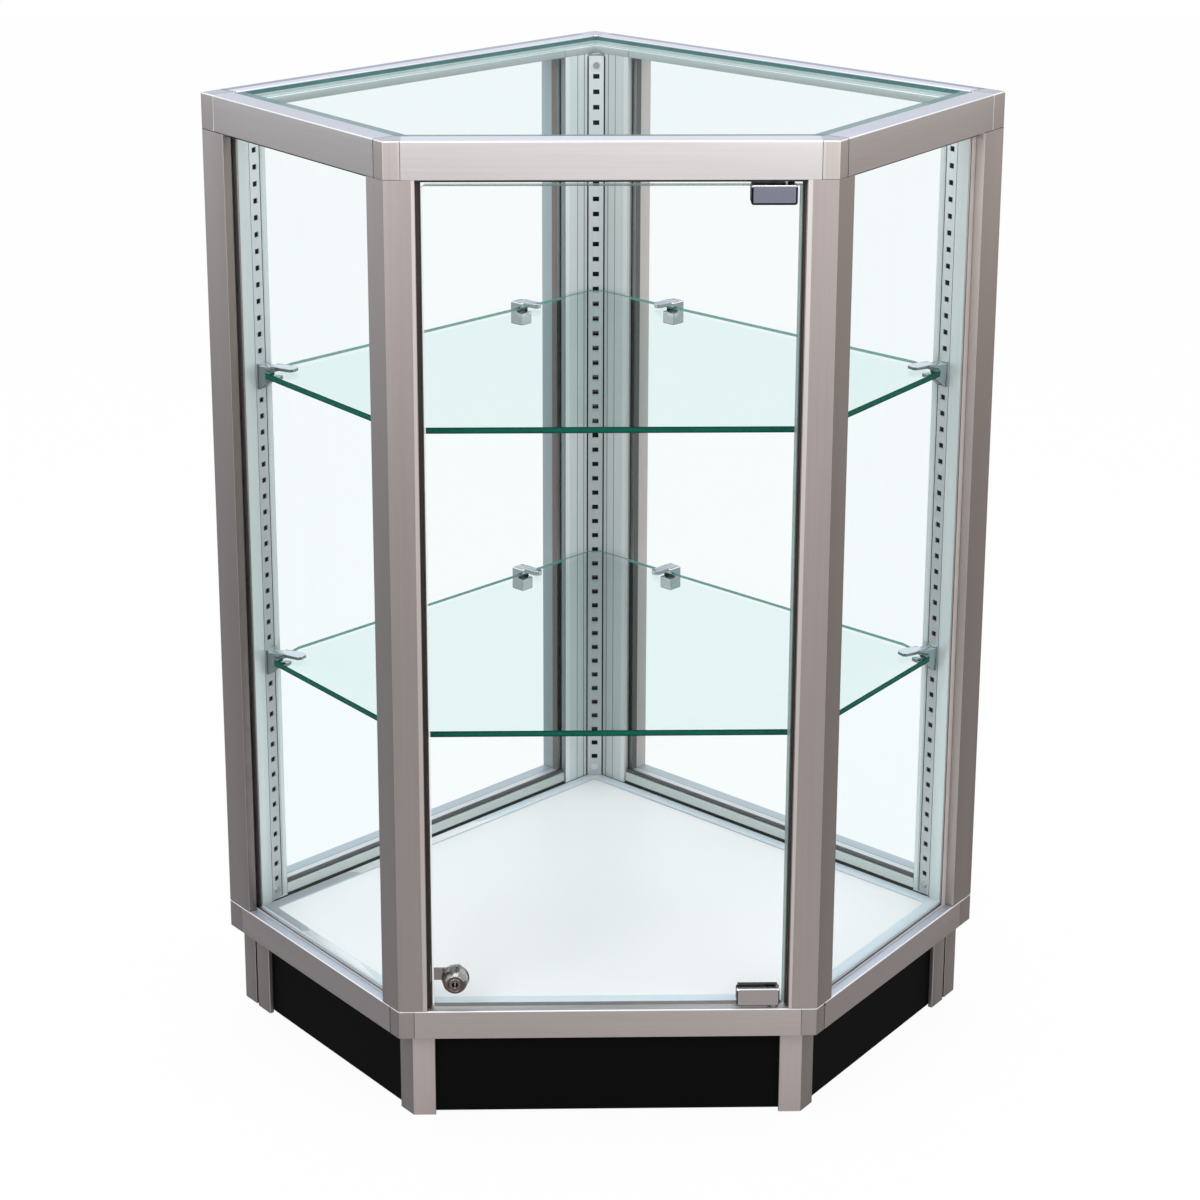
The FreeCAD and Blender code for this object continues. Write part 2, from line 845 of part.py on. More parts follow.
def leg(first, first_inset, first_face, second, second_inset, second_face):
    outer = meet(first, first_inset, second, second_inset)
    inner = meet(first, first_inset + leg_thickness, second, second_inset + leg_thickness)
    first_end = outer + first["run"] * first_face
    second_end = outer + second["run"] * second_face
    outline = [
        outer,
        first_end,
        first_end + first["inward"] * leg_thickness,
        inner,
        second_end + second["inward"] * leg_thickness,
        second_end,
    ]
    return prism(outline, 0, leg_height)


def front_leg():
    return leg(front, leg_front_inset, leg_face, flank_from_front, leg_flank_inset, leg_face)


def side_leg():
    angle = leg(flank, leg_flank_inset, leg_face, rear_from_side, leg_rear_inset, leg_face)
    corner = meet(flank, leg_flank_inset, rear_from_side, leg_rear_inset)
    start = flank["run"].dot(corner - flank["start"]) + leg_face
    second = start + leg_slot
    inner = leg_flank_inset + leg_thickness
    web = bar(flank, start - leg_web, second + leg_web, inner - leg_web, inner, 0, leg_height)
    strip = bar(flank, second, second + leg_second_face, leg_flank_inset - leg_second_step, inner, 0, leg_height)
    return join([angle, web, strip])


def back_leg():
    mirrored = make_side(back, right)
    return leg(rear, leg_rear_inset, back_leg_face, mirrored, leg_rear_inset, back_leg_face)


leg_insets = around(leg_front_inset, leg_flank_inset, leg_rear_inset)
kick_outer = [inset + leg_thickness for inset in leg_insets]
kick_inner = [inset + kick_thickness for inset in kick_outer]


def kick_panel(index):
    return mitred_strip(index, kick_outer, kick_inner, kick_floor_gap, leg_height)


# door

door_low = rail_top + door_gap_below
door_high = head_level - door_gap_above
door_middle = door_setback + door_glass / 2
door_back = door_setback + door_glass
clamp_front = door_setback - clamp_pad - clamp_plate
clamp_back = door_back + clamp_pad + clamp_plate
clamp_x = (pivot_x - clamp_before_pivot, pivot_x + clamp_after_pivot)
notch_x = (pivot_x - notch_before_pivot, pivot_x + notch_after_pivot)
lock_z = door_low + lock_rise
bolt_front = door_back + bolt_gap_behind_glass


def door_pane():
    glass = box((door_left, door_right), (door_setback, door_back), (door_low, door_high))
    top_edges = []
    bottom_edges = []
    for edge in glass.Edges:
        middle_point = edge.CenterOfMass
        across = abs(middle_point.y - front_y - door_middle) < match
        at_left = abs(middle_point.x - door_left) < match
        if across and at_left and middle_point.z > case_height / 2:
            top_edges.append(edge)
        if across and middle_point.z < case_height / 2:
            bottom_edges.append(edge)
    glass = glass.makeFillet(door_bottom_radius, bottom_edges)
    top_edges = [e for e in glass.Edges if any(e.CenterOfMass.isEqual(t.CenterOfMass, match) for t in top_edges)]
    glass = glass.makeChamfer(door_top_chamfer, top_edges)
    for low, high in ((door_low, door_low + notch_height), (door_high - notch_height, door_high)):
        glass = glass.cut(box(notch_x, (door_setback, door_back), (low, high)))
    return glass.cut(rod_along_y(lock_neck_radius + lock_hole_fit, lock_x, lock_z, (door_setback, door_back)))


def hinge_clamp(low, block_low, block_high):
    high = low + clamp_height
    plates = []
    for y_span in ((clamp_front, clamp_front + clamp_plate), (clamp_back - clamp_plate, clamp_back)):
        plate = box(clamp_x, y_span, (low, high))
        corners = [e for e in plate.Edges if abs(e.Vertexes[0].Y - e.Vertexes[1].Y) > clamp_chamfer]
        plate = plate.makeFillet(clamp_corner_radius, corners)
        outside = min(y_span) if y_span[0] == clamp_front else max(y_span)
        rim = [e for e in plate.Edges if all(abs(v.Y - front_y - outside) < match for v in e.Vertexes)]
        plates.append(plate.makeChamfer(clamp_chamfer, rim))
    block_x = (notch_x[0] + notch_fit, notch_x[1] - notch_fit)
    block = box(block_x, (clamp_front + clamp_plate, clamp_back - clamp_plate), (block_low, block_high))
    return join([plates[0], block, plates[1]])


def bottom_clamp():
    clamp = hinge_clamp(door_low, door_low, door_low + notch_height - notch_fit)
    bore = rod(pivot_radius + pivot_clearance, pivot_x, door_middle, door_low, door_low + pivot_depth + notch_fit)
    return clamp.cut(bore)


def top_clamp():
    clamp = hinge_clamp(door_high - clamp_height, door_high - notch_height + notch_fit, door_high)
    bore = rod(pivot_radius + pivot_clearance, pivot_x, door_middle, door_high - pivot_depth - notch_fit, door_high)
    return clamp.cut(bore)


def clamp_pads():
    pads = []
    x_span = (clamp_x[0] + clamp_pad_inset, notch_x[0])
    for low in (door_low, door_high - clamp_height):
        z_span = (low + clamp_pad_inset, low + clamp_height - clamp_pad_inset)
        pads.append(box(x_span, (door_setback - clamp_pad, door_setback), z_span))
        pads.append(box(x_span, (door_back, door_back + clamp_pad), z_span))
    return Part.makeCompound(pads)


def clamp_screws():
    screws = []
    for low in (door_low, door_high - clamp_height):
        for x in (clamp_x[0] + clamp_screw_inset, clamp_x[1] - clamp_screw_inset):
            span = (clamp_back, clamp_back + clamp_screw_height)
            screws.append(rod_along_y(clamp_screw_radius, x, low + clamp_height / 2, span))
    return Part.makeCompound(screws)


def bottom_pivot():
    pin = rod(pivot_radius, pivot_x, door_middle, rail_top - pivot_bottom_anchor, door_low + pivot_depth)
    washer = rod(washer_radius, pivot_x, door_middle, rail_top, door_low - washer_gap)
    return join([pin, washer])


def top_pivot():
    return rod(pivot_radius, pivot_x, door_middle, door_high - pivot_depth, head_level + pivot_top_anchor)


# lock

lock_face = door_setback - lock_projection
plug_back = bolt_front - bolt_fit
case_back = bolt_front + bolt_thickness + bolt_fit + lock_case_wall
bolt_x = (door_left + bolt_tip_inset, lock_x + bolt_tail)
bolt_z = (lock_z - bolt_height / 2, lock_z + bolt_height / 2)


def lock_body():
    side_view = [
        (0, 0),
        (lock_flange_radius, 0),
        (lock_flange_radius, lock_flange_height),
        (lock_barrel_radius, lock_flange_height),
        (lock_barrel_radius, lock_barrel_reach),
        (lock_shoulder_radius, lock_shoulder_reach),
        (lock_face_radius, lock_projection),
        (0, lock_projection),
    ]
    axis = FreeCAD.Vector(lock_x, front_y + door_setback, lock_z)
    loop = [axis + FreeCAD.Vector(radius, -reach, 0) for radius, reach in side_view]
    loop.append(loop[0])
    barrel = Part.Face(Part.makePolygon(loop)).revolve(axis, FreeCAD.Vector(0, 1, 0), full_turn)
    neck = rod_along_y(lock_neck_radius, lock_x, lock_z, (door_setback, door_back))
    body = join([barrel, neck])
    bore = rod_along_y(plug_radius + plug_clearance, lock_x, lock_z, (lock_face, door_back))
    recess = rod_along_y(plug_collar_radius + groove_fit, lock_x, lock_z,
                         (lock_face, lock_face + plug_face_step + plug_collar_height))
    return body.cut(bore).cut(recess)


def lock_case():
    case = rod_along_y(lock_case_radius, lock_x, lock_z, (door_back, case_back))
    rail_low = bolt_z[0] - bolt_fit
    rail_high = bolt_z[1] + bolt_fit
    tunnel = box((lock_x - lock_case_radius, lock_x + lock_case_radius),
                 (bolt_front - bolt_fit, bolt_front + bolt_thickness + bolt_fit), (rail_low, rail_high))
    bore = rod_along_y(plug_radius + plug_clearance, lock_x, lock_z, (door_back, bolt_front))
    return case.cut(tunnel).cut(bore)


def lock_plug():
    plug = rod_along_y(plug_radius, lock_x, lock_z, (lock_face + plug_face_step, plug_back))
    collar = rod_along_y(plug_collar_radius, lock_x, lock_z,
                         (lock_face + plug_face_step, lock_face + plug_face_step + plug_collar_height))
    pin = rod_along_y(drive_pin_radius, lock_x + drive_pin_offset, lock_z,
                      (plug_back - wall, bolt_front + bolt_thickness))
    key_slot = box((lock_x - key_slot_width / 2, lock_x + key_slot_width / 2),
                   (lock_face, lock_face + key_slot_depth),
                   (lock_z - key_slot_height / 2, lock_z + key_slot_height / 2))
    return join([plug, collar, pin]).cut(key_slot)


def lock_bolt():
    bolt = box(bolt_x, (bolt_front, bolt_front + bolt_thickness), bolt_z)
    half_slot = drive_pin_radius + drive_slot_fit
    reach = drive_pin_offset + half_slot
    pin_x = lock_x + drive_pin_offset
    slot = box((pin_x - half_slot, pin_x + half_slot), (bolt_front, bolt_front + bolt_thickness),
               (lock_z - reach, lock_z + reach))
    return bolt.cut(slot)


# every named subcomponent of the case

side_bolt_on = place(standard(), side_standard_anchor, standard_turn)
side_screws = place(standard_screws(), side_standard_anchor, standard_turn)
shelf_slots = {"upper": upper_shelf_slot, "lower": lower_shelf_slot}
nodes = {
    "front_top_rail": front_top_rail(),
    "back_top_corner": back_top_corner(),
    "top_glass": top_glass(),
    "glazing_tapes": glazing_tapes(),
    "front_bottom_rail": front_bottom_rail(),
    "back_bottom_corner": back_bottom_corner(),
    "left_front_post": lock_post(),
    "right_front_post": flip(front_post(hinge_strip_reach)),
    "back_post": back_post(),
    "back_standard": place(standard(), back_standard_anchor, 0),
    "standard_screws": Part.makeCompound([
        side_screws, flip(side_screws), place(standard_screws(), back_standard_anchor, 0)]),
    "deck_panel": deck_panel(),
    "deck_rims": deck_rims(),
    "back_leg": back_leg(),
    "kick_panels": Part.makeCompound([kick_panel(i) for i in range(len(ring))]),
    "door_pane": door_pane(),
    "top_hinge_clamp": top_clamp(),
    "bottom_hinge_clamp": bottom_clamp(),
    "hinge_clamp_pads": clamp_pads(),
    "hinge_clamp_screws": clamp_screws(),
    "top_pivot_pin": top_pivot(),
    "bottom_pivot_pin": bottom_pivot(),
    "lock_body": lock_body(),
    "lock_case": lock_case(),
    "lock_plug": lock_plug(),
    "lock_bolt": lock_bolt(),
}
paired = {
    "flank_top_rail": flank_top_rail(),
    "rear_top_rail": rear_top_rail(),
    "front_top_corner": front_top_corner(),
    "side_top_corner": side_top_corner(),
    "flank_bottom_rail": flank_bottom_rail(),
    "rear_bottom_rail": rear_bottom_rail(),
    "front_bottom_corner": front_bottom_corner(),
    "side_bottom_corner": side_bottom_corner(),
    "side_post": side_post(),
    "side_rear_post": side_rear_post(),
    "flank_pane": flank_glass(),
    "rear_pane": rear_glass(),
    "standard": side_bolt_on,
}
twins = {
    "front_legs": front_leg(),
    "side_legs": side_leg(),
}
for name, number in shelf_slots.items():
    nodes[name + "_shelf"] = shelf(number)
    twins[name + "_shelf_clips"] = clip(number)
    twins[name + "_shelf_brackets"] = bracket(number)
for name, shape in paired.items():
    nodes["left_" + name] = shape
    nodes["right_" + name] = flip(shape)
for name, shape in twins.items():
    nodes[name] = Part.makeCompound([shape, flip(shape)])

os.makedirs("parts", exist_ok=True)
for name, shape in nodes.items():
    shape.exportStep("parts/" + name + ".step")
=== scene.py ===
import bpy
import json
import math
from mathutils import Matrix, Vector


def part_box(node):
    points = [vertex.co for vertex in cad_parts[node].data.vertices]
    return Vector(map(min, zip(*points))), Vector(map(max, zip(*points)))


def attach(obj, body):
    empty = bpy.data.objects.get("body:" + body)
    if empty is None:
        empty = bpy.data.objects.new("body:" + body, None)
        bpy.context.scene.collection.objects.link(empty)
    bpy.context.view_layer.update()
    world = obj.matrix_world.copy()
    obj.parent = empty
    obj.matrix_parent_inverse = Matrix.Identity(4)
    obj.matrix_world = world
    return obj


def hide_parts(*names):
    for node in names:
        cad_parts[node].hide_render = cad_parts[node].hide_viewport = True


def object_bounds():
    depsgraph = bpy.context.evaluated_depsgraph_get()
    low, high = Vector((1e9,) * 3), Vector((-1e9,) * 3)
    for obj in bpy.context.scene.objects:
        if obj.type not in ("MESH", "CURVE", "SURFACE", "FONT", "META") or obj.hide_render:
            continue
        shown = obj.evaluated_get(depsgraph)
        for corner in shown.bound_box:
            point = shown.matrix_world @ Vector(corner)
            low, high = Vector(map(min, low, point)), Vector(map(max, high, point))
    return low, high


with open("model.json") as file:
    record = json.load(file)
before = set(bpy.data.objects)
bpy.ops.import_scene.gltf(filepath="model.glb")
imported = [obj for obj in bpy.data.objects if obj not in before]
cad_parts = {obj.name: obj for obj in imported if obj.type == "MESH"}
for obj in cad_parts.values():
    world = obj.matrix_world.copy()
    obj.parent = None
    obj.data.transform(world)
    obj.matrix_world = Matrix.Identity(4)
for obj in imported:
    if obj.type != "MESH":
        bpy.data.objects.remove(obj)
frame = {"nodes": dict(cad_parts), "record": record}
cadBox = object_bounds()  # the CAD box, before any piece is added
bpy.ops.object.select_all(action="DESELECT")

# plan of the case, read from the CAD nodes
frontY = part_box("front_top_rail")[0].y
backY = cadBox[1].y
sideX = cadBox[1].x
sideY = backY - sideX
flankTurn = math.radians(54)
half = math.sqrt(0.5)
mirrorX = Matrix.Scale(-1, 3, (1, 0, 0))
leftFlank = {
    "start": Vector((-sideX, sideY, 0)), "run": Vector((math.cos(flankTurn), -math.sin(flankTurn), 0)),
    "inward": Vector((math.sin(flankTurn), math.cos(flankTurn), 0))}
leftRear = {
    "start": Vector((0, backY, 0)), "run": Vector((-half, -half, 0)), "inward": Vector((half, -half, 0))}
front = {"start": Vector((0, frontY, 0)), "run": Vector((1, 0, 0)), "inward": Vector((0, 1, 0))}
print("stage: frame loaded, front at", round(frontY, 4), "back at", round(backY, 4))


class Wire:  # one socket, with arithmetic
    def __init__(self, paint, socket):
        self.paint = paint
        self.socket = socket

    def maths(self, operation, first, second=0.0):
        return self.paint.add("ShaderNodeMath", {"operation": operation}, {0: first, 1: second})

    def __add__(self, other):
        return self.maths("ADD", self, other)

    def __radd__(self, other):
        return self.maths("ADD", other, self)

    def __sub__(self, other):
        return self.maths("SUBTRACT", self, other)

    def __rsub__(self, other):
        return self.maths("SUBTRACT", other, self)

    def __mul__(self, other):
        return self.maths("MULTIPLY", self, other)

    def __rmul__(self, other):
        return self.maths("MULTIPLY", other, self)

    def __pow__(self, other):
        return self.maths("POWER", self, other)

    def __gt__(self, other):
        return self.maths("GREATER_THAN", self, other)

    def __lt__(self, other):
        return self.maths("LESS_THAN", self, other)

    def __abs__(self):
        return self.maths("ABSOLUTE", self)


class Paint:  # the nodes of one material or of the world
    def __init__(self, owner):
        self.owner = owner
        owner.use_nodes = True
        self.tree = owner.node_tree
        self.tree.nodes.clear()

    def add(self, kind, settings=None, sockets=None, output=0):
        node = self.tree.nodes.new(kind)
        for key, value in (settings or {}).items():
            setattr(node, key, value)
        for key, value in (sockets or {}).items():
            if isinstance(value, Wire):
                self.tree.links.new(value.socket, node.inputs[key])
            else:
                node.inputs[key].default_value = value
        return Wire(self, node.outputs[output]) if len(node.outputs) else self.owner

    def place(self):
        return self.add("ShaderNodeTexCoord", output="Object")

    def facing(self):  # the normal in the piece's own frame, so that it turns with the door
        return self.add("ShaderNodeTexCoord", output="Normal")

    def along(self, vector, direction):
        settings = {"operation": "DOT_PRODUCT"}
        return self.add("ShaderNodeVectorMath", settings, {0: vector, 1: direction}, "Value")

    def noise(self, stretch, detail=3.0, rough=0.6):
        spot = self.add("ShaderNodeMapping", None, {"Vector": self.place(), "Scale": stretch})
        return self.add("ShaderNodeTexNoise", None, {
            "Vector": spot, "Scale": 1.0, "Detail": detail, "Roughness": rough})

    def fade(self, value, low, high, first=0.0, second=1.0):
        return self.add("ShaderNodeMapRange", None, {0: value, 1: low, 2: high, 3: first, 4: second})

    def mix(self, amount, first, second):  # blends two colours
        return self.add("ShaderNodeMix", {"data_type": "RGBA"}, {0: amount, 6: first, 7: second}, 2)

    def bands(self, value, first, stops):  # colours that change at each stop
        colour = first
        for limit, following in stops:
            colour = self.mix(value > limit, colour, following)
        return colour

    def shade(self, amount, colour):  # a colour made lighter or darker
        grey = self.add("ShaderNodeCombineXYZ", None, {0: amount, 1: amount, 2: amount})
        ink = colour if isinstance(colour, Wire) else colour[:3]
        return self.add("ShaderNodeVectorMath", {"operation": "MULTIPLY"}, {0: grey, 1: ink})

    def bump(self, height, strength, distance):
        return self.add("ShaderNodeBump", None, {
            "Strength": strength, "Distance": distance, "Height": height})

    def gloss(self, sockets):
        return self.add("ShaderNodeBsdfPrincipled", None, sockets)

    def blend(self, amount, first, second):  # blends two shaders
        return self.add("ShaderNodeMixShader", None, {0: amount, 1: first, 2: second})

    def close(self, shader):
        return self.add("ShaderNodeOutputMaterial", None, {0: shader})


def tone(red, green, blue):  # a display colour from 0 to 255, made linear
    values = [part / 255 for part in (red, green, blue)]
    linear = [v / 12.92 if v <= 0.04045 else ((v + 0.055) / 1.055) ** 2.4 for v in values]
    return (*linear, 1.0)


grains = {"level": (5, 5, 480), "upright": (480, 480, 4)}  # how fine the brush marks are along each axis
brushMarks = {"base": 0.88, "streak": 0.18, "cloud": 0.06, "rough": 0.14}  # how much they change the metal
paintedLightFrom, paintedLightTo = 0.42, 0.93  # heights between which the metal is painted lighter, painted light towards the top


# grain, painted light towards the top and towards one side, and gloss of satin metal, with black painted as
# shade in a hollow
def brushed(paint, look, colour, hollow=0.0):
    streak = paint.noise(grains[look["grain"]], 4.0, 0.65)
    cloud = paint.noise((5, 5, 5), 2.0, 0.5)
    spot = paint.place()
    rise = paint.fade(paint.along(spot, (0, 0, 1)), paintedLightFrom, paintedLightTo) ** 1.5
    # painted light: front faces lighter towards one side
    aside = paint.along(spot, (1, 0, 0)) * abs(paint.along(paint.facing(), (0, 1, 0)) ** 5.0)
    light = brushMarks["base"] + brushMarks["streak"] * streak + brushMarks["cloud"] * cloud
    light = light * (1.0 + look["paintedTopLight"] * rise) * (1.0 + look["paintedSideLight"] * aside)
    # painted shade: black in a hollow
    colour = paint.mix(hollow, paint.shade(light, colour), paint.shade(0.6 + 0.8 * streak, black))
    shader = paint.gloss({
        "Base Color": colour, "Metallic": look["metal"] + hollow * (1.0 - look["metal"]),
        "Roughness": look["rough"] + brushMarks["rough"] * streak,
        "Normal": paint.bump(streak, 0.05, 0.0004)})
    return paint.close(shader)


def mirrored(paint):  # the place, brought to the left half
    spot = paint.place()
    return paint.add("ShaderNodeCombineXYZ", None, {
        0: 0.0 - abs(paint.along(spot, (1, 0, 0))), 1: paint.along(spot, (0, 1, 0)),
        2: paint.along(spot, (0, 0, 1))})


facets = {  # limits on the parts of a normal
    "side": 0.4, "arrisHighlight": (0.15, 0.68), "upper": 0.3, "level": 0.88, "end": 0.3, "sill": 0.6, "pane": 0.7}


def satinMetal(name, look):
    paint = Paint(bpy.data.materials.new(name))
    # painted light and shade: each way a face looks gets its own tone of the one metal
    normal = paint.facing()
    across = paint.along(normal, (1, 0, 0))
    upward = paint.along(normal, (0, 0, 1))
    side = paint.mix(across > 0.0, look["left"], look["right"])
    colour = paint.mix(abs(across) > facets["side"], look["front"], side)
    if look["sideHighlight"]:  # painted highlight along the upright edge between front and flank
        low, high = facets["arrisHighlight"]
        colour = paint.mix((abs(across) > low) * (abs(across) < high), colour, look["sideHighlight"])
    if look["jamb"]:  # recessed strip beside the door, painted dark as its shade
        fromMiddle = abs(paint.along(paint.place(), (1, 0, 0)))
        colour = paint.mix(fromMiddle < look["jambReach"], colour, look["jamb"])
    level = look["top"]
    if look["outerTop"]:  # darker strip of the top, along the outer edge
        level = paint.mix(depthOf(paint) < look["outerTop"][0], level, look["outerTop"][1])
    # painted highlight: white on the slanted faces along the top edges
    level = paint.mix(upward > facets["level"], look["arrisHighlight"], level)
    colour = paint.mix(upward > facets["upper"], colour, level)
    if look["endLine"]:  # joint with the back corner
        colour = paint.mix(reachOf(paint) < look["endLine"], colour, look["seam"])
    hollow = 0.0
    if look["hollow"]:  # black painted as shade inside a channel
        hollow = paint.along(paint.place(), look["hollow"]) > look["hollowFrom"]
    if look["shadedSlit"]:  # black painted as shade in the gap between two strips
        reach = paint.along(mirrored(paint), leftFlank["run"])
        hollow = (reach > look["shadedSlit"][0]) * (reach < look["shadedSlit"][1])
    seam = abs(paint.along(normal, look["run"])) > facets["end"]
    return brushed(paint, look, paint.mix(seam, colour, look["seam"]), hollow)


def depthOf(paint):  # distance inward from the outer plane of the nearer rear side
    spot = paint.place()
    return (backY - paint.along(spot, (0, 1, 0)) - abs(paint.along(spot, (1, 0, 0)))) * half


def reachOf(paint):  # distance from the back corner along the nearer rear side
    spot = paint.place()
    return (backY - paint.along(spot, (0, 1, 0)) + abs(paint.along(spot, (1, 0, 0)))) * half


def sideways(paint):  # how far a face looks away from the middle of the case
    sideSign = paint.add("ShaderNodeMath", {"operation": "SIGN"}, {0: paint.along(paint.place(), (1, 0, 0))})
    return paint.along(paint.facing(), (1, 0, 0)) * sideSign


def outside(paint):  # where a face looks out through the nearer rear side
    return (sideways(paint) + paint.along(paint.facing(), (0, 1, 0))) * half > 0.7


def backPostMetal(name, look):
    paint = Paint(bpy.data.materials.new(name))
    across = paint.along(paint.place(), (1, 0, 0))
    outward = paint.along(paint.facing(), (1, 0, 0)) * across > 0.0
    onLeft = across < 0.0
    depth = depthOf(paint)
    # painted light and shade: bands by depth on the walls and across the inner faces, darker at the grooves
    wall = paint.mix(onLeft, paint.bands(depth, *look["rightWall"]), paint.bands(depth, *look["leftWall"]))
    inner = paint.bands(reachOf(paint), *look["inner"])
    # painted shade: the right inner face darker
    inner = paint.mix(onLeft, paint.shade(look["rightInnerShade"], inner), inner)
    spot = paint.place()
    seatShade = (abs(across) < look["seatHalf"]) * (paint.along(spot, (0, 1, 0)) < look["seatEnd"])
    seatShade = seatShade * (paint.along(spot, (0, 0, 1)) < look["seatTop"])  # painted shade: black behind the standard
    colour = paint.mix(outside(paint), paint.mix(outward, inner, wall), look["outer"])
    return brushed(paint, look, colour, seatShade)


def sidePostMetal(name, look):  # the slanted post at the left or right corner
    paint = Paint(bpy.data.materials.new(name))
    spot = mirrored(paint)
    offset = paint.along(spot, look["run"]) - look["middle"].dot(look["run"])
    # painted shade: black on the seat behind the standard
    seatShade = (abs(offset) < look["seatHalf"]) * (paint.along(spot, look["back"]) < look["seatEnd"])
    return brushed(paint, look, paint.mix(outside(paint), look["face"], look["outer"]), seatShade)


def sillMetal(name, look):  # rear bottom rails, banded by depth on their top with painted light and shade, and painted dark shade low on the front wall
    paint = Paint(bpy.data.materials.new(name))
    level = paint.along(paint.facing(), (0, 0, 1)) > facets["sill"]
    wall = paint.mix(paint.along(paint.place(), (0, 0, 1)) > look["gapTop"], look["foot"], look["front"])
    wall = paint.mix(outside(paint), wall, look["outer"])
    colour = paint.mix(level, wall, paint.bands(depthOf(paint), *look["stripes"]))
    return brushed(paint, look, colour)


shelfBack = {"from": 0.1, "line": 0.8}  # the blunt back corner of a shelf shows as a thin line
stripCover = 0.85  # of the strips along the edges of a pane


def clearGlass(name, look):
    paint = Paint(bpy.data.materials.new(name))
    normal = paint.facing()
    flat = abs(paint.along(normal, look["facing"])) > facets["pane"]
    ripple = paint.noise((30, 30, 30), 2.0, 0.5)
    behind = paint.add("ShaderNodeNewGeometry", output="Backfacing")
    graze = paint.add("ShaderNodeLayerWeight", None, {"Blend": 0.5}, "Facing")
    sheen = (look["sheen"] + look["glare"] * graze ** 5.0) * (1.0 - behind)
    straight = paint.add("ShaderNodeBsdfTransparent", None, {"Color": look["tint"]})
    slanting = paint.add("ShaderNodeBsdfTransparent", None, {"Color": look["deepTint"]})
    sight = paint.blend(graze, straight, slanting)
    mirror = paint.gloss({
        "Base Color": (0.95, 0.98, 0.98, 1), "Metallic": 1.0, "Roughness": 0.02 + 0.02 * ripple})
    spot = paint.place()
    rise = paint.fade(paint.along(spot, (0, 0, 1)), look["low"], look["high"])
    # the edge tones are the glass's own teal with painted light and shade: darker at top and bottom, a
    # lighter core, and tones of their own on upward faces and where an edge is seen from inside
    core = 1.0 - abs(rise * 2.0 - 1.0) ** 2.0
    rim = paint.mix(core, look["edge"], look["edgeCore"])
    inner = paint.mix(rise > look["edgeSplit"], look["edgeBelow"], look["edgeBehind"])
    rim = paint.mix(paint.along(normal, (0, 0, 1)) > facets["sill"], rim, look["edgeTop"])
    rim = paint.mix(behind, rim, inner)
    mottle = 0.85 + 0.3 * ripple
    edge = paint.gloss({
        "Base Color": paint.shade(mottle, rim), "Roughness": 0.2, "Specular IOR Level": look["edgeGloss"]})
    middle = abs(paint.along(spot, (1, 0, 0))) < look["clearMiddle"]
    middle = middle * (paint.along(spot, (0, 1, 0)) > shelfBack["from"]) * (rise < shelfBack["line"])
    unseen = 1.0 - (1.0 - middle) * (1.0 - behind * (rise < look["behindFrom"]))
    pane = paint.blend(sheen, sight, mirror)
    for way, sense, limit, ink in look["borders"]:  # strips of the faces along an edge
        reach = paint.along(spot, way)
        near = reach > limit if sense == "above" else reach < limit
        strip = paint.gloss({
            "Base Color": paint.shade(mottle, ink), "Roughness": 0.3, "Specular IOR Level": 0.15})
        outer = paint.along(normal, look["outer"]) > 0.0
        pane = paint.blend(near * outer * (1.0 - behind) * stripCover, pane, strip)
    clear = paint.add("ShaderNodeBsdfTransparent", None, {"Color": (1, 1, 1, 1)})
    border = paint.blend(look["edgeCover"] * (1.0 - unseen), clear, edge)
    return paint.close(paint.blend(flat, border, pane))


brightFacets = {"plate": 0.95, "slanted": 0.25, "level": 0.9}  # limits on the parts of a normal


def polished(name, look):  # chrome and other bright metal, with painted light and shade by the way each face looks: painted highlights on the top arrises, painted shade underneath
    paint = Paint(bpy.data.materials.new(name))
    haze = paint.noise((60, 60, 60), 3.0, 0.6)
    normal = paint.facing()
    upward = paint.along(normal, (0, 0, 1))
    plate = paint.along(normal, (0, -1, 0)) > brightFacets["plate"]
    for way, sense, limit in look["outline"]:  # painted shade: a dark border round a plate
        reach = paint.along(paint.place(), way)
        plate = plate * (reach < limit if sense == "below" else reach > limit)
    across = sideways(paint) if look["paired"] else paint.along(normal, (1, 0, 0))
    turned = paint.mix(across > 0.0, look["side"], look["other"])
    colour = paint.mix(plate, turned, look["plate"])
    if look["keyhole"]:  # dark round with a pale slot, the slot a painted highlight
        hole = look["keyhole"]
        spot = paint.add("ShaderNodeVectorMath", {"operation": "SUBTRACT"}, {0: paint.place(), 1: hole["at"]})
        width, rise = abs(paint.along(spot, (1, 0, 0))), paint.along(spot, (0, 0, 1))
        colour = paint.mix(plate * ((width ** 2.0 + rise ** 2.0) ** 0.5 < hole["radius"]), colour, black)
        slot = plate * (width < hole["slotHalf"]) * (abs(rise) < hole["slotReach"])
        colour = paint.mix(slot, colour, white)
    # painted shade underneath, painted highlights on the upper faces
    colour = paint.mix(upward < -brightFacets["slanted"], colour, look["underShade"])
    upper = paint.mix(upward > brightFacets["level"], look["arrisHighlight"], look["top"])
    colour = paint.mix(upward > brightFacets["slanted"], colour, upper)
    shader = paint.gloss({
        "Base Color": paint.shade(0.94 + 0.12 * haze, colour), "Metallic": 1.0,
        "Roughness": look["rough"] + 0.08 * haze, "Normal": paint.bump(haze, 0.03, 0.0005)})
    return paint.close(shader)


def flatFinish(name, look):  # laminate, rubber and plastic
    paint = Paint(bpy.data.materials.new(name))
    grain = paint.noise((look["grain"],) * 3, 4.0, 0.6)
    cloud = paint.noise((4, 4, 4), 2.0, 0.5)
    colour = paint.shade(0.92 + 0.08 * grain + 0.08 * cloud, look["colour"])
    shader = paint.gloss({
        "Base Color": colour, "Roughness": look["rough"] + 0.1 * grain,
        "Specular IOR Level": look["specular"], "Normal": paint.bump(grain, look["bump"], 0.0004)})
    return paint.close(shader)


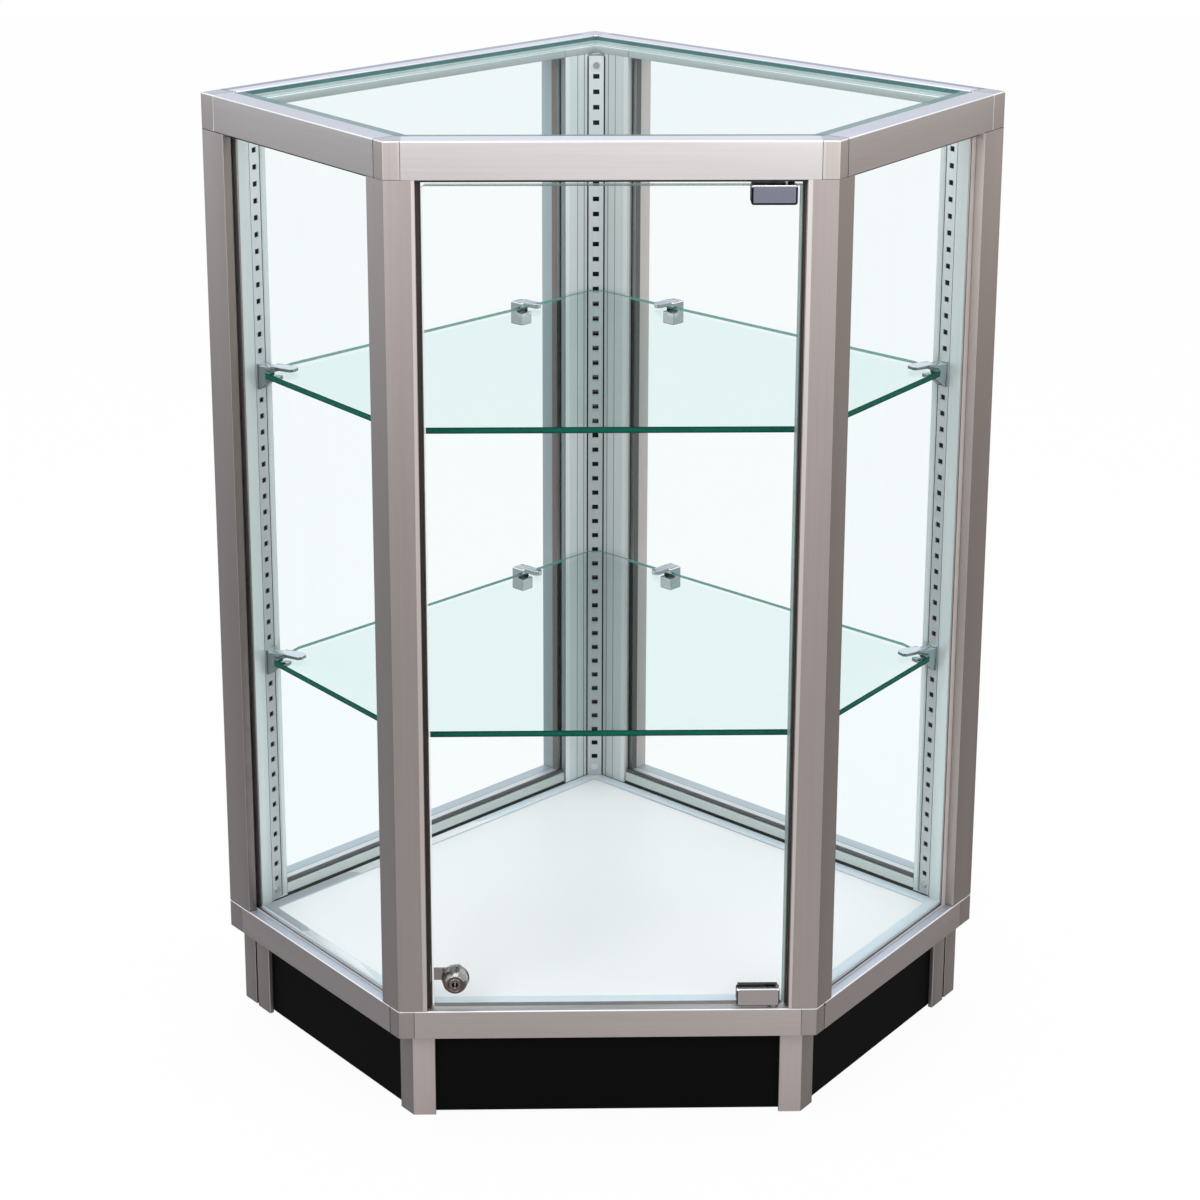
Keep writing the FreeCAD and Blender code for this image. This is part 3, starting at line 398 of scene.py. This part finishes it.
black = tone(8, 8, 8)
white = tone(250, 251, 252)
# painted light and shade: the frame metal's front, left, right and top tones are one metal lit and shaded by
# colour
frontTone = tone(172, 163, 160)
leftTone = tone(134, 130, 130)
rightTone = tone(132, 123, 118)
lavender = tone(206, 209, 220)
joined = {
    "arrisHighlight": tone(250, 250, 252), "seam": tone(46, 43, 42), "run": (0, 0, 0), "jamb": None, "hollow": None,
    "shadedSlit": None, "endLine": None, "outerTop": None, "sideHighlight": None}
# per-face tones of each metal: painted light and shade
metalLooks = {
    "post_metal": {
        **joined, "front": frontTone, "left": leftTone, "right": rightTone,
        "top": lavender, "grain": "upright", "metal": 0.6, "rough": 0.34, "paintedTopLight": 0.5, "paintedSideLight": 0.5},
    "top_rail_metal": {
        **joined, "front": tone(254, 249, 249), "left": tone(189, 187, 189), "right": tone(183, 174, 170),
        "top": lavender, "grain": "level", "metal": 0.6, "rough": 0.34, "paintedTopLight": 0.0, "paintedSideLight": 0.4},
    "bottom_rail_metal": {
        **joined, "front": tone(193, 184, 181), "left": tone(149, 144, 145), "right": tone(153, 144, 142),
        "top": lavender, "grain": "level", "metal": 0.6, "rough": 0.34, "paintedTopLight": 0.0, "paintedSideLight": 0.4},
    "corner_metal": {
        **joined, "front": tone(170, 162, 160), "left": tone(132, 128, 127), "right": tone(134, 126, 122),
        "top": tone(160, 163, 174),
        "grain": "upright", "metal": 0.6, "rough": 0.36, "paintedTopLight": 0.35, "paintedSideLight": 0.3},
    "leg_metal": {
        **joined, "front": tone(198, 188, 186), "left": tone(131, 128, 128), "right": tone(133, 126, 123),
        "top": lavender, "grain": "upright", "metal": 0.6, "rough": 0.36, "paintedTopLight": 0.0, "paintedSideLight": 0.0},
    "standard_metal": {
        **joined, "front": tone(196, 198, 200), "left": tone(196, 199, 200), "right": tone(196, 199, 200),
        "top": lavender, "grain": "upright", "metal": 0.4, "rough": 0.30, "paintedTopLight": 0.8, "paintedSideLight": 0.0},
    "rim_metal": {
        **joined, "front": tone(214, 222, 229), "left": tone(214, 222, 229), "right": tone(214, 222, 229),
        "top": tone(224, 232, 239),
        "grain": "upright", "metal": 0.15, "rough": 0.45, "paintedTopLight": 0.0, "paintedSideLight": 0.0},
}
bare = {"outline": [], "keyhole": None, "paired": False}
# per-face tones of each bright metal: painted light and shade, with white painted highlights on the arrises
brightLooks = {
    "bright_chrome": {
        **bare, "side": tone(208, 220, 224), "other": tone(190, 206, 210), "plate": tone(200, 214, 219),
        "underShade": tone(70, 78, 80), "arrisHighlight": white, "top": tone(222, 232, 240), "rough": 0.10},
    "hinge_steel": {
        **bare, "side": tone(44, 43, 46), "other": tone(44, 43, 46), "plate": tone(182, 187, 210),
        "underShade": tone(34, 34, 36), "arrisHighlight": white, "top": tone(60, 55, 53), "rough": 0.16},
    "screw_steel": {
        **bare, "side": tone(190, 192, 194), "other": tone(190, 192, 194), "plate": tone(214, 216, 218),
        "underShade": tone(120, 120, 122), "arrisHighlight": white, "top": tone(226, 226, 230), "rough": 0.25},
}
plainLooks = {
    "glazing_tape": {
        "colour": tone(184, 200, 197), "rough": 0.5, "grain": 400, "bump": 0.05, "specular": 0.3},
    "black_rubber": {"colour": tone(44, 44, 43), "rough": 0.5, "grain": 400, "bump": 0.1, "specular": 0.4},
    "pin_black": {"colour": tone(22, 22, 23), "rough": 0.4, "grain": 300, "bump": 0.05, "specular": 0.3},
    "deck_white": {"colour": tone(252, 249, 249), "rough": 0.34, "grain": 500, "bump": 0.02, "specular": 0.4},
    "foot_grey": {"colour": tone(80, 84, 84), "rough": 0.5, "grain": 400, "bump": 0.1, "specular": 0.3},
    "jamb_grey": {"colour": tone(118, 118, 113), "rough": 0.5, "grain": 400, "bump": 0.1, "specular": 0.3},
    "pale_vinyl": {"colour": tone(214, 220, 223), "rough": 0.4, "grain": 400, "bump": 0.05, "specular": 0.3},
    "kick_black": {"colour": tone(12, 12, 12), "rough": 0.6, "grain": 700, "bump": 0.06, "specular": 0.04},
}
standardTurn = math.radians(60)
standardRun = Vector((math.cos(standardTurn), math.sin(standardTurn), 0))
standardBack = Vector((-math.sin(standardTurn), math.cos(standardTurn), 0))
standardMiddle = (Vector(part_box("left_standard")[0]) + Vector(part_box("left_standard")[1])) / 2
outerTone = tone(152, 147, 146)
nodeLooks = {
    # painted light and shade: bands of lighter and darker tones on the back post's walls and inner faces
    "back_post": (backPostMetal, {
        "leftWall": (tone(184, 199, 203), [
            (0.0150, tone(142, 133, 127)), (0.0220, tone(104, 108, 106)), (0.0293, tone(140, 150, 152))]),
        "rightWall": (tone(224, 216, 211), [
            (0.0150, tone(110, 112, 109)), (0.0265, tone(130, 143, 144)), (0.0320, tone(210, 202, 198))]),
        "inner": (tone(222, 225, 224), [
            (0.0535, tone(140, 146, 146)), (0.0548, tone(224, 228, 227)), (0.0640, tone(136, 144, 144)),
            (0.0650, tone(226, 230, 229)), (0.0770, tone(240, 243, 243))]),
        "outer": outerTone, "rightInnerShade": 0.86, "seatHalf": 0.0096,
        "seatEnd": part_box("back_standard")[1].y + 0.004, "seatTop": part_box("back_standard")[1].z - 0.0005,
        "grain": "upright", "metal": 0.3, "rough": 0.32, "paintedTopLight": 0.0, "paintedSideLight": 0.0}),
    "left_side_rear_post": (sidePostMetal, {
        "run": standardRun, "middle": standardMiddle, "back": standardBack,
        "seatHalf": 0.0088, "seatEnd": standardMiddle.dot(standardBack) + 0.009,
        "face": tone(226, 233, 231), "outer": outerTone,
        "grain": "upright", "metal": 0.3, "rough": 0.32, "paintedTopLight": 0.0, "paintedSideLight": 0.0}),
    "left_rear_bottom_rail": (sillMetal, {
        # painted shade: a near black foot; painted light and shade: stripes across the top
        "front": tone(205, 212, 209), "outer": outerTone, "foot": tone(20, 34, 32), "gapTop": 0.1192,
        "stripes": (tone(200, 214, 223), [
            (0.0130, tone(172, 182, 187)), (0.0145, tone(244, 247, 249)), (0.0220, tone(128, 131, 131)),
            (0.0293, tone(226, 232, 230))]),
        "grain": "level", "metal": 0.3, "rough": 0.32, "paintedTopLight": 0.0, "paintedSideLight": 0.0}),
    "left_front_post": (satinMetal, {
        # painted shade: a dark jamb strip; painted highlight along the front arris
        **metalLooks["post_metal"], "run": (0, 0, 1), "jamb": tone(66, 58, 56), "jambReach": 0.1743,
        "sideHighlight": tone(216, 208, 205)}),
    "left_side_post": (satinMetal, {**metalLooks["post_metal"], "run": (0, 0, 1)}),
    "right_side_post": (satinMetal, {
        **metalLooks["post_metal"], "run": (0, 0, 1),
        # painted light: the left faces lighter
        "left": tone(176, 168, 165), "right": tone(134, 124, 119)}),
    "back_top_corner": (satinMetal, {
        # per-face tones of the corner blocks: painted light and shade
        **metalLooks["corner_metal"], "front": tone(206, 212, 212), "left": tone(206, 212, 212),
        "right": tone(206, 212, 212), "top": tone(188, 191, 201), "paintedTopLight": 0.0}),
    "left_front_top_corner": (satinMetal, {
        **metalLooks["corner_metal"], "front": tone(236, 226, 222), "left": tone(178, 173, 173),
        "right": tone(176, 166, 161), "top": tone(172, 175, 186), "sideHighlight": tone(246, 240, 238),
        "paintedTopLight": 0.0}),
}
for likeLeft in ("front_post", "side_rear_post", "rear_bottom_rail"):
    nodeLooks["right_" + likeLeft] = nodeLooks["left_" + likeLeft]
sheetGauge = 0.0009  # of the folded standards
channels = {  # the way into each standard, painted black inside as shade
    "left_standard": standardBack, "right_standard": mirrorX @ standardBack,
    "back_standard": Vector((0, 1, 0))}
for nodeName, way in channels.items():
    node = frame["nodes"][nodeName]
    face = min((node.matrix_world @ vertex.co).dot(way) for vertex in node.data.vertices)
    nodeLooks[nodeName] = (satinMetal, {
        **metalLooks["standard_metal"], "hollow": way, "hollowFrom": face + sheetGauge})
legSlit = (0.0204, 0.0252)  # gap between the strips of a side leg, along the flank, painted black as shade
flankStart = leftFlank["start"].dot(leftFlank["run"])
nodeLooks["side_legs"] = (satinMetal, {
    **metalLooks["leg_metal"], "shadedSlit": (flankStart + legSlit[0], flankStart + legSlit[1])})
runs = {"front": (1, 0, 0), "left_flank": leftFlank["run"], "right_flank": mirrorX @ leftFlank["run"],
        "left_rear": leftRear["run"], "right_rear": mirrorX @ leftRear["run"]}
jointWidth = 0.0012  # dark line where a rear rail meets the back corner
endLine = (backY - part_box("left_rear_top_rail")[1].y) / half + jointWidth
rearTop = {"endLine": endLine, "outerTop": (0.0110, tone(150, 155, 170))}
# painted light: the inner faces of the rear top rails, lighter than the metal
innerLitTone = tone(206, 214, 213)
railLooks = {
    "left_rear": {"right": innerLitTone, **rearTop}, "right_rear": {"left": innerLitTone, **rearTop},
    "left_flank": {"top": tone(186, 190, 202)}, "right_flank": {"top": tone(186, 190, 202)}}
for sideName, run in runs.items():
    nodeLooks[sideName + "_top_rail"] = (satinMetal, {
        **metalLooks["top_rail_metal"], **railLooks.get(sideName, {}), "run": run})
for sideName in ("front", "left_flank", "right_flank"):
    nodeLooks[sideName + "_bottom_rail"] = (satinMetal, {
        **metalLooks["bottom_rail_metal"], "run": runs[sideName]})
nodeLooks["front_bottom_rail"][1]["top"] = tone(204, 198, 200)
for topCorner in ("right_front_top_corner", "left_side_top_corner", "right_side_top_corner"):
    nodeLooks[topCorner] = nodeLooks["left_front_top_corner"]
topClamp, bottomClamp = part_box("top_hinge_clamp"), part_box("bottom_hinge_clamp")
plugLow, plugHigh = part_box("lock_plug")
# painted light and shade: lighter and darker tones on the faces of the clips and brackets
clip = {
    **brightLooks["bright_chrome"], "paired": True,
    "side": tone(248, 252, 252), "other": tone(204, 218, 224), "top": tone(172, 184, 196)}
bracket = {
    **brightLooks["bright_chrome"],
    "side": tone(150, 161, 166), "other": tone(178, 190, 195), "plate": tone(156, 168, 173)}
brightNodes = {
    # painted shade: dark borders round the hinge plates
    "top_hinge_clamp": {**brightLooks["hinge_steel"], "outline": [
        ((1, 0, 0), "above", topClamp[0].x + 0.0020), ((1, 0, 0), "below", topClamp[1].x - 0.0018),
        ((0, 0, 1), "above", topClamp[0].z + 0.0020)]},
    "bottom_hinge_clamp": {**brightLooks["hinge_steel"], "plate": tone(212, 204, 206), "outline": [
        ((1, 0, 0), "above", bottomClamp[0].x + 0.0012), ((1, 0, 0), "below", bottomClamp[1].x - 0.0012)]},
    "upper_shelf_clips": clip, "lower_shelf_clips": clip,
    "upper_shelf_brackets": bracket, "lower_shelf_brackets": bracket,
    # per-face tones of the lock: painted light and shade, with a painted highlight in the key slot
    "lock_body": {
        **bare, "side": tone(150, 141, 136), "other": tone(104, 98, 95), "plate": tone(126, 115, 110),
        "underShade": tone(50, 46, 44), "arrisHighlight": tone(176, 172, 168), "top": tone(122, 118, 116), "rough": 0.14},
    "lock_plug": {
        **bare, "side": tone(120, 110, 106), "other": tone(120, 110, 106), "plate": tone(146, 134, 129),
        "underShade": tone(60, 55, 53), "arrisHighlight": tone(248, 246, 243), "top": tone(230, 226, 222), "rough": 0.16,
        "keyhole": {
            "at": (plugLow + plugHigh) / 2, "radius": 0.0030, "slotHalf": 0.0007, "slotReach": 0.0024}},
    "lock_bolt": {
        **bare, "side": tone(168, 158, 155), "other": tone(168, 158, 155), "plate": tone(176, 166, 162),
        "underShade": tone(80, 74, 72), "arrisHighlight": white, "top": tone(110, 104, 102), "rough": 0.18},
}
for nodeName, look in brightNodes.items():
    nodeLooks[nodeName] = (polished, look)

tealRim = tone(60, 106, 110)
rimReach = 0.0375  # from the outer face to the inner edge of the teal rim
rimLimit = leftFlank["start"].dot(leftFlank["inward"]) + rimReach
doorLow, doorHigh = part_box("door_pane")
# strips along the door pane's edges: painted shade at the bottom, the glass edge's teal at the top and the
# right side, and a painted highlight on the left
doorRims = [((0, 0, 1), "below", doorLow.z + 0.0040, tone(112, 112, 107)),
            ((0, 0, 1), "above", doorHigh.z - 0.0012, tone(104, 138, 134)),
            ((1, 0, 0), "above", doorHigh.x - 0.0026, tone(122, 148, 144)),
            ((1, 0, 0), "below", doorLow.x + 0.0014, tone(235, 238, 238))]
rightInward = mirrorX @ leftFlank["inward"]
rightRun = mirrorX @ leftFlank["run"]
# painted light: a pale strip on the right flank pane beside the post
rightJamb = [(rightRun, "below", (mirrorX @ leftFlank["start"]).dot(rightRun) + 0.0470, tone(208, 198, 194))]
# painted light: a pale strip along the foot of the flank panes, over the shaded groove
sillRim = [((0, 0, 1), "below", 0.1196, tone(206, 212, 216))]
# glass edge tones: the glass's own teal banded with painted light and shade, and pale painted tones where an
# edge is seen from inside
shelfInk = {
    "edge": tone(0, 38, 32), "edgeCore": tone(2, 96, 78), "edgeTop": tone(30, 110, 94),
    "edgeBehind": tone(100, 160, 153), "edgeBelow": tone(100, 160, 153), "edgeSplit": 0.0, "edgeGloss": 0.0,
    "edgeCover": 1.0, "behindFrom": 0.5, "clearMiddle": 0.036, "borders": [], "glare": 0.4}
paneInk = {
    "edge": tone(170, 200, 196), "edgeCore": tone(190, 216, 212), "edgeTop": tone(110, 150, 146),
    "edgeBehind": tone(150, 190, 188), "edgeBelow": tone(150, 190, 188), "edgeSplit": 0.0, "edgeGloss": 0.12,
    "edgeCover": 0.7, "behindFrom": 0.99, "clearMiddle": 0.0, "borders": [], "glare": 0.4}
topInk = {
    "edge": tone(80, 130, 128), "edgeCore": tone(100, 150, 148), "edgeTop": tone(110, 150, 146),
    "edgeBehind": tone(82, 128, 130), "edgeBelow": tone(206, 217, 215), "edgeSplit": 0.35, "edgeGloss": 0.12,
    "edgeCover": 0.95, "behindFrom": 0.0, "clearMiddle": 0.0, "glare": 0.05, "borders": [
        ((0, 1, 0), "below", frontY + rimReach, tealRim), (leftFlank["inward"], "below", rimLimit, tealRim),
        (rightInward, "below", rimLimit, tealRim)]}
paneTint = {"tint": (0.992, 0.999, 1.0, 1), "deepTint": (0.970, 0.996, 0.999, 1)}
shelfTint = {"tint": (0.970, 0.992, 0.990, 1), "deepTint": (0.888, 0.957, 0.949, 1)}
topTint = {"tint": (0.990, 0.997, 0.997, 1), "deepTint": (0.945, 0.975, 0.980, 1)}
glassLooks = {
    "top_glass": {"facing": (0, 0, 1), "outer": (0, 0, 1), **topTint, "sheen": 0.005, **topInk},
    "upper_shelf": {"facing": (0, 0, 1), **shelfTint, "sheen": 0.03, **shelfInk},
    "lower_shelf": {"facing": (0, 0, 1), **shelfTint, "sheen": 0.03, **shelfInk},
    "door_pane": {
        "facing": (0, 1, 0), "outer": (0, -1, 0), **paneTint, "sheen": 0.02, **paneInk, "borders": doorRims},
    "left_flank_pane": {
        "facing": leftFlank["inward"], "outer": -leftFlank["inward"], **paneTint, "sheen": 0.02, **paneInk,
        "borders": sillRim},
    "right_flank_pane": {
        "facing": rightInward, "outer": -rightInward, **paneTint, "sheen": 0.02, **paneInk,
        "borders": sillRim + rightJamb},
    "left_rear_pane": {"facing": leftRear["inward"], **paneTint, "sheen": 0.02, **paneInk},
    "right_rear_pane": {"facing": mirrorX @ leftRear["inward"], **paneTint, "sheen": 0.02, **paneInk},
}

finishes = {}
for slotName, look in metalLooks.items():
    finishes[slotName] = satinMetal(slotName + "_finish", look)
for slotName, look in brightLooks.items():
    finishes[slotName] = polished(slotName + "_finish", look)
for slotName, look in plainLooks.items():
    finishes[slotName] = flatFinish(slotName + "_finish", look)
slotOf = {part["node"]: part["material_slot"] for part in frame["record"]["subparts"]}
finishOf = {}
for nodeName, node in frame["nodes"].items():
    if nodeName in glassLooks:
        low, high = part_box(nodeName)
        look = {"low": low.z, "high": high.z, **glassLooks[nodeName]}
        finishOf[nodeName] = clearGlass(nodeName + "_finish", look)
    elif nodeName in nodeLooks:
        make, look = nodeLooks[nodeName]
        finishOf[nodeName] = make(nodeName + "_finish", look)
    else:
        finishOf[nodeName] = finishes[slotOf[nodeName]]
    for slotIndex in range(len(node.material_slots)):
        node.material_slots[slotIndex].material = finishOf[nodeName]
print("stage: finishes set on", len(frame["nodes"]), "nodes")


smoothAngle = math.radians(35)


def wear(piece, finish, body):  # finish, smooth shading and body of a new piece
    piece.data.materials.clear()
    piece.data.materials.append(finish)
    bpy.ops.object.select_all(action="DESELECT")
    piece.select_set(True)
    bpy.context.view_layer.objects.active = piece
    bpy.ops.object.shade_smooth_by_angle(angle=smoothAngle)
    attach(piece, body)


# metal pieces with broken edges, shaped on copies of the CAD pieces
brokenEdges = {
    "width": 0.0007, "smallWidth": 0.00035, "segments": 2, "angle": 30,
    "mergeWithin": 0.000005, "flatAngle": 1, "smallSlots": ("hinge_steel", "bright_chrome"),
    "slots": ("post_metal", "top_rail_metal", "bottom_rail_metal", "corner_metal", "leg_metal", "rim_metal")}
bodies = frame["record"]["behaviour"]["bodies"]
bodyOf = {nodeName: body for body, members in bodies.items() for nodeName in members}


def breakEdges(nodeName, width):
    node = frame["nodes"][nodeName]
    piece = bpy.data.objects.new(nodeName + "_shaped", node.data.copy())
    bpy.context.scene.collection.objects.link(piece)
    piece.matrix_world = node.matrix_world
    bpy.ops.object.select_all(action="DESELECT")
    piece.select_set(True)
    bpy.context.view_layer.objects.active = piece
    bpy.ops.object.transform_apply(location=True, rotation=True, scale=True)
    bpy.ops.object.mode_set(mode="EDIT")
    bpy.ops.mesh.select_all(action="SELECT")
    bpy.ops.mesh.remove_doubles(threshold=brokenEdges["mergeWithin"])
    bpy.ops.mesh.dissolve_limited(angle_limit=math.radians(brokenEdges["flatAngle"]))
    bpy.ops.mesh.normals_make_consistent(inside=False)
    bpy.ops.object.mode_set(mode="OBJECT")
    soften = piece.modifiers.new("soften", "BEVEL")
    soften.width = width
    soften.segments = brokenEdges["segments"]
    soften.limit_method = "ANGLE"
    soften.angle_limit = math.radians(brokenEdges["angle"])
    bpy.ops.object.modifier_apply(modifier=soften.name)
    wear(piece, finishOf[nodeName], bodyOf[nodeName])
    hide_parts(nodeName)


shapedCount = 0
for nodeName in sorted(frame["nodes"]):
    small = slotOf[nodeName] in brokenEdges["smallSlots"]
    if small or slotOf[nodeName] in brokenEdges["slots"]:
        breakEdges(nodeName, brokenEdges["smallWidth"] if small else brokenEdges["width"])
        shapedCount += 1
print("stage: edges broken on", shapedCount, "metal pieces")


# rubber beads that bed the panes and seal the door; the black beads under the top rails are partly painted
# shade, and the pale bead at the foot of the flank panes partly painted light
beads = {
    "flank_top_bead": {
        "side": leftFlank, "along": (0.0388, 0.2882), "depth": (0.0074, 0.0093), "level": (0.9262, 0.9299),
        "finish": "black_rubber"},
    "flank_foot_bead": {
        "side": leftFlank, "along": (0.0388, 0.2882), "depth": (0.0147, 0.0166), "level": (0.1171, 0.1204),
        "finish": "pale_vinyl"},
    "rear_foot_bead": {
        "side": leftRear, "along": (0.0834, 0.4979), "depth": (0.0293, 0.0322), "level": (0.1290, 0.1322),
        "finish": "foot_grey"},
}
doorBeads = {
    "door_head_bead": {
        "side": front, "along": (-0.1742, 0.1742), "depth": (0.0006, 0.0030), "level": (0.9281, 0.9299),
        "finish": "black_rubber"},
    "hinge_jamb_bead": {
        "side": front, "along": (0.1708, 0.1724), "depth": (0.0116, 0.0158), "level": (0.1175, 0.9295),
        "finish": "jamb_grey"},
    "lock_jamb_bead": {
        "side": front, "along": (-0.1709, -0.1695), "depth": (0.0116, 0.0158), "level": (0.1600, 0.9295),
        "finish": "jamb_grey"},
    "lock_foot_bead": {
        "side": front, "along": (-0.1709, -0.1695), "depth": (0.0116, 0.0158), "level": (0.1175, 0.1420),
        "finish": "jamb_grey"},
    "lock_strike_bead": {
        "side": front, "along": (-0.1709, -0.1695), "depth": (0.0151, 0.0158), "level": (0.1421, 0.1599),
        "finish": "jamb_grey"},
}
hingeGasket = {  # rides on the door
    "side": front, "along": (0.1243, 0.1548), "depth": (0.0046, 0.0114), "level": (0.9251, 0.9263),
    "finish": "black_rubber"}


beadRound = {"share": 0.3, "segments": 3}  # of the thinnest side, rounded off each edge


def layBead(name, bead, body="case"):
    side = bead["side"]
    sizes = [bead[key][1] - bead[key][0] for key in ("along", "depth", "level")]
    middles = [(bead[key][1] + bead[key][0]) / 2 for key in ("along", "depth", "level")]
    spot = side["start"] + side["run"] * middles[0] + side["inward"] * middles[1] + Vector((0, 0, middles[2]))
    bpy.ops.object.select_all(action="DESELECT")
    turn = (0, 0, math.atan2(side["run"].y, side["run"].x))
    bpy.ops.mesh.primitive_cube_add(size=1, location=spot, rotation=turn)
    piece = bpy.context.object
    piece.name = name
    piece.scale = sizes
    bpy.ops.object.transform_apply(location=True, rotation=True, scale=True)
    bpy.ops.object.mode_set(mode="EDIT")
    bpy.ops.mesh.select_all(action="SELECT")
    bpy.ops.mesh.bevel(offset=min(sizes) * beadRound["share"], segments=beadRound["segments"])
    bpy.ops.object.mode_set(mode="OBJECT")
    wear(piece, finishes[bead["finish"]], body)
    return piece


def mirrorCopy(piece, name):
    twin = bpy.data.objects.new(name, piece.data.copy())
    bpy.context.scene.collection.objects.link(twin)
    bpy.ops.object.select_all(action="DESELECT")
    twin.select_set(True)
    bpy.context.view_layer.objects.active = twin
    twin.scale = (-1, 1, 1)
    bpy.ops.object.transform_apply(location=True, rotation=True, scale=True)
    bpy.ops.object.mode_set(mode="EDIT")
    bpy.ops.mesh.select_all(action="SELECT")
    bpy.ops.mesh.normals_make_consistent(inside=False)
    bpy.ops.object.mode_set(mode="OBJECT")
    return twin


for name, bead in doorBeads.items():
    layBead(name, bead)
for name, bead in beads.items():
    first = layBead("left_" + name, bead)
    wear(mirrorCopy(first, "right_" + name), finishes[bead["finish"]], "case")
layBead("hinge_gasket", hingeGasket, "door")
print("stage: beads laid", 2 * len(beads) + len(doorBeads) + 1)


# studio: pale floor, soft lamps, white surroundings
studio = {
    "floorSize": 14.0, "floorDrop": 0.0005, "floorWhite": 0.88, "floorGlow": 0.95,
    "floorMirror": (0.47, 0.45, 0.44, 1), "ceiling": (0.92, 0.94, 0.98, 1), "ceilingFade": (0.05, 0.8),
    "frontWall": (0.50, 0.47, 0.45, 1), "backWall": (0.95, 0.95, 0.95, 1), "wallFade": (-0.7, 0.5),
    "lampAim": (0, 0, 0.5)}


def buildFloor():
    bpy.ops.mesh.primitive_plane_add(size=studio["floorSize"], location=(0, 0, -studio["floorDrop"]))
    floor = bpy.context.object
    floor.name = "floor"
    paint = Paint(bpy.data.materials.new("floor_finish"))
    rays = [paint.add("ShaderNodeLightPath", output=kind)
            for kind in ("Is Camera Ray", "Is Glossy Ray", "Is Transmission Ray")]
    mottle = paint.noise((3, 3, 3), 3.0, 0.5)
    matt = paint.gloss({
        "Base Color": paint.shade(0.96 + 0.04 * mottle, (studio["floorWhite"],) * 3), "Roughness": 0.7})
    glow = paint.add("ShaderNodeEmission", None, {"Color": (1, 1, 1, 1), "Strength": 1.0})
    dusk = paint.add("ShaderNodeEmission", None, {"Color": studio["floorMirror"], "Strength": 1.0})
    seen = paint.add("ShaderNodeMath", {"operation": "MINIMUM"}, {0: rays[0] + rays[2], 1: 1.0})
    lit = paint.blend(seen * studio["floorGlow"], matt, glow)
    floor.data.materials.append(paint.close(paint.blend(rays[1], lit, dusk)))


def buildWorld():
    world = bpy.data.worlds.new("surroundings")
    bpy.context.scene.world = world
    paint = Paint(world)
    way = paint.add("ShaderNodeTexCoord", output="Generated")
    toBack = paint.fade(paint.along(way, (0, 1, 0)), *studio["wallFade"])
    toCeiling = paint.fade(paint.along(way, (0, 0, 1)), *studio["ceilingFade"])
    wall = paint.mix(toBack, studio["frontWall"], studio["backWall"])
    room = paint.mix(toCeiling, wall, studio["ceiling"])
    rays = [paint.add("ShaderNodeLightPath", output=kind)
            for kind in ("Is Camera Ray", "Is Transmission Ray")]
    seen = paint.add("ShaderNodeMath", {"operation": "MINIMUM"}, {0: rays[0] + rays[1], 1: 1.0})
    colour = paint.mix(seen, room, (1, 1, 1, 1))
    light = paint.add("ShaderNodeBackground", None, {"Color": colour, "Strength": 1.0})
    paint.add("ShaderNodeOutputWorld", None, {0: light})


lamps = {
    "keyLamp": {"at": (-1.9, -2.7, 3.0), "size": 2.4, "power": 34},
    "fillLamp": {"at": (2.4, -2.2, 2.0), "size": 2.4, "power": 16},
    "topLamp": {"at": (0.0, 0.2, 3.2), "size": 2.2, "power": 22},
}


def buildLamps():
    for name, lamp in lamps.items():
        light = bpy.data.lights.new(name, "AREA")
        light.size = lamp["size"]
        light.energy = lamp["power"]
        holder = bpy.data.objects.new(name, light)
        bpy.context.scene.collection.objects.link(holder)
        holder.location = lamp["at"]
        aim = Vector(studio["lampAim"]) - Vector(lamp["at"])
        holder.rotation_euler = aim.to_track_quat("-Z", "Y").to_euler()


shot = {
    "at": (-0.075, -2.590, 1.454), "pitch": 17.19, "yaw": 1.45, "roll": 0.18,
    "lens": 89.25, "sensor": 36, "shift": -0.1}


def buildCamera():
    pitch, yaw, roll = (math.radians(shot[key]) for key in ("pitch", "yaw", "roll"))
    ahead = Vector((math.sin(yaw) * math.cos(pitch), math.cos(yaw) * math.cos(pitch), -math.sin(pitch)))
    level = Vector((math.cos(yaw), -math.sin(yaw), 0))
    upward = level.cross(ahead)
    right = level * math.cos(roll) + upward * math.sin(roll)
    top = upward * math.cos(roll) - level * math.sin(roll)
    data = bpy.data.cameras.new("view")
    data.sensor_width = shot["sensor"]
    data.lens = shot["lens"]
    data.shift_y = shot["shift"]
    camera = bpy.data.objects.new("view", data)
    bpy.context.scene.collection.objects.link(camera)
    turn = Matrix((right, top, -ahead)).transposed().to_4x4()
    camera.matrix_world = Matrix.Translation(Vector(shot["at"]) + Vector((0, frontY, 0))) @ turn
    bpy.context.scene.camera = camera


buildFloor()
buildWorld()
buildLamps()
buildCamera()
bpy.context.scene.view_settings.view_transform = "Standard"
print("stage: studio ready")
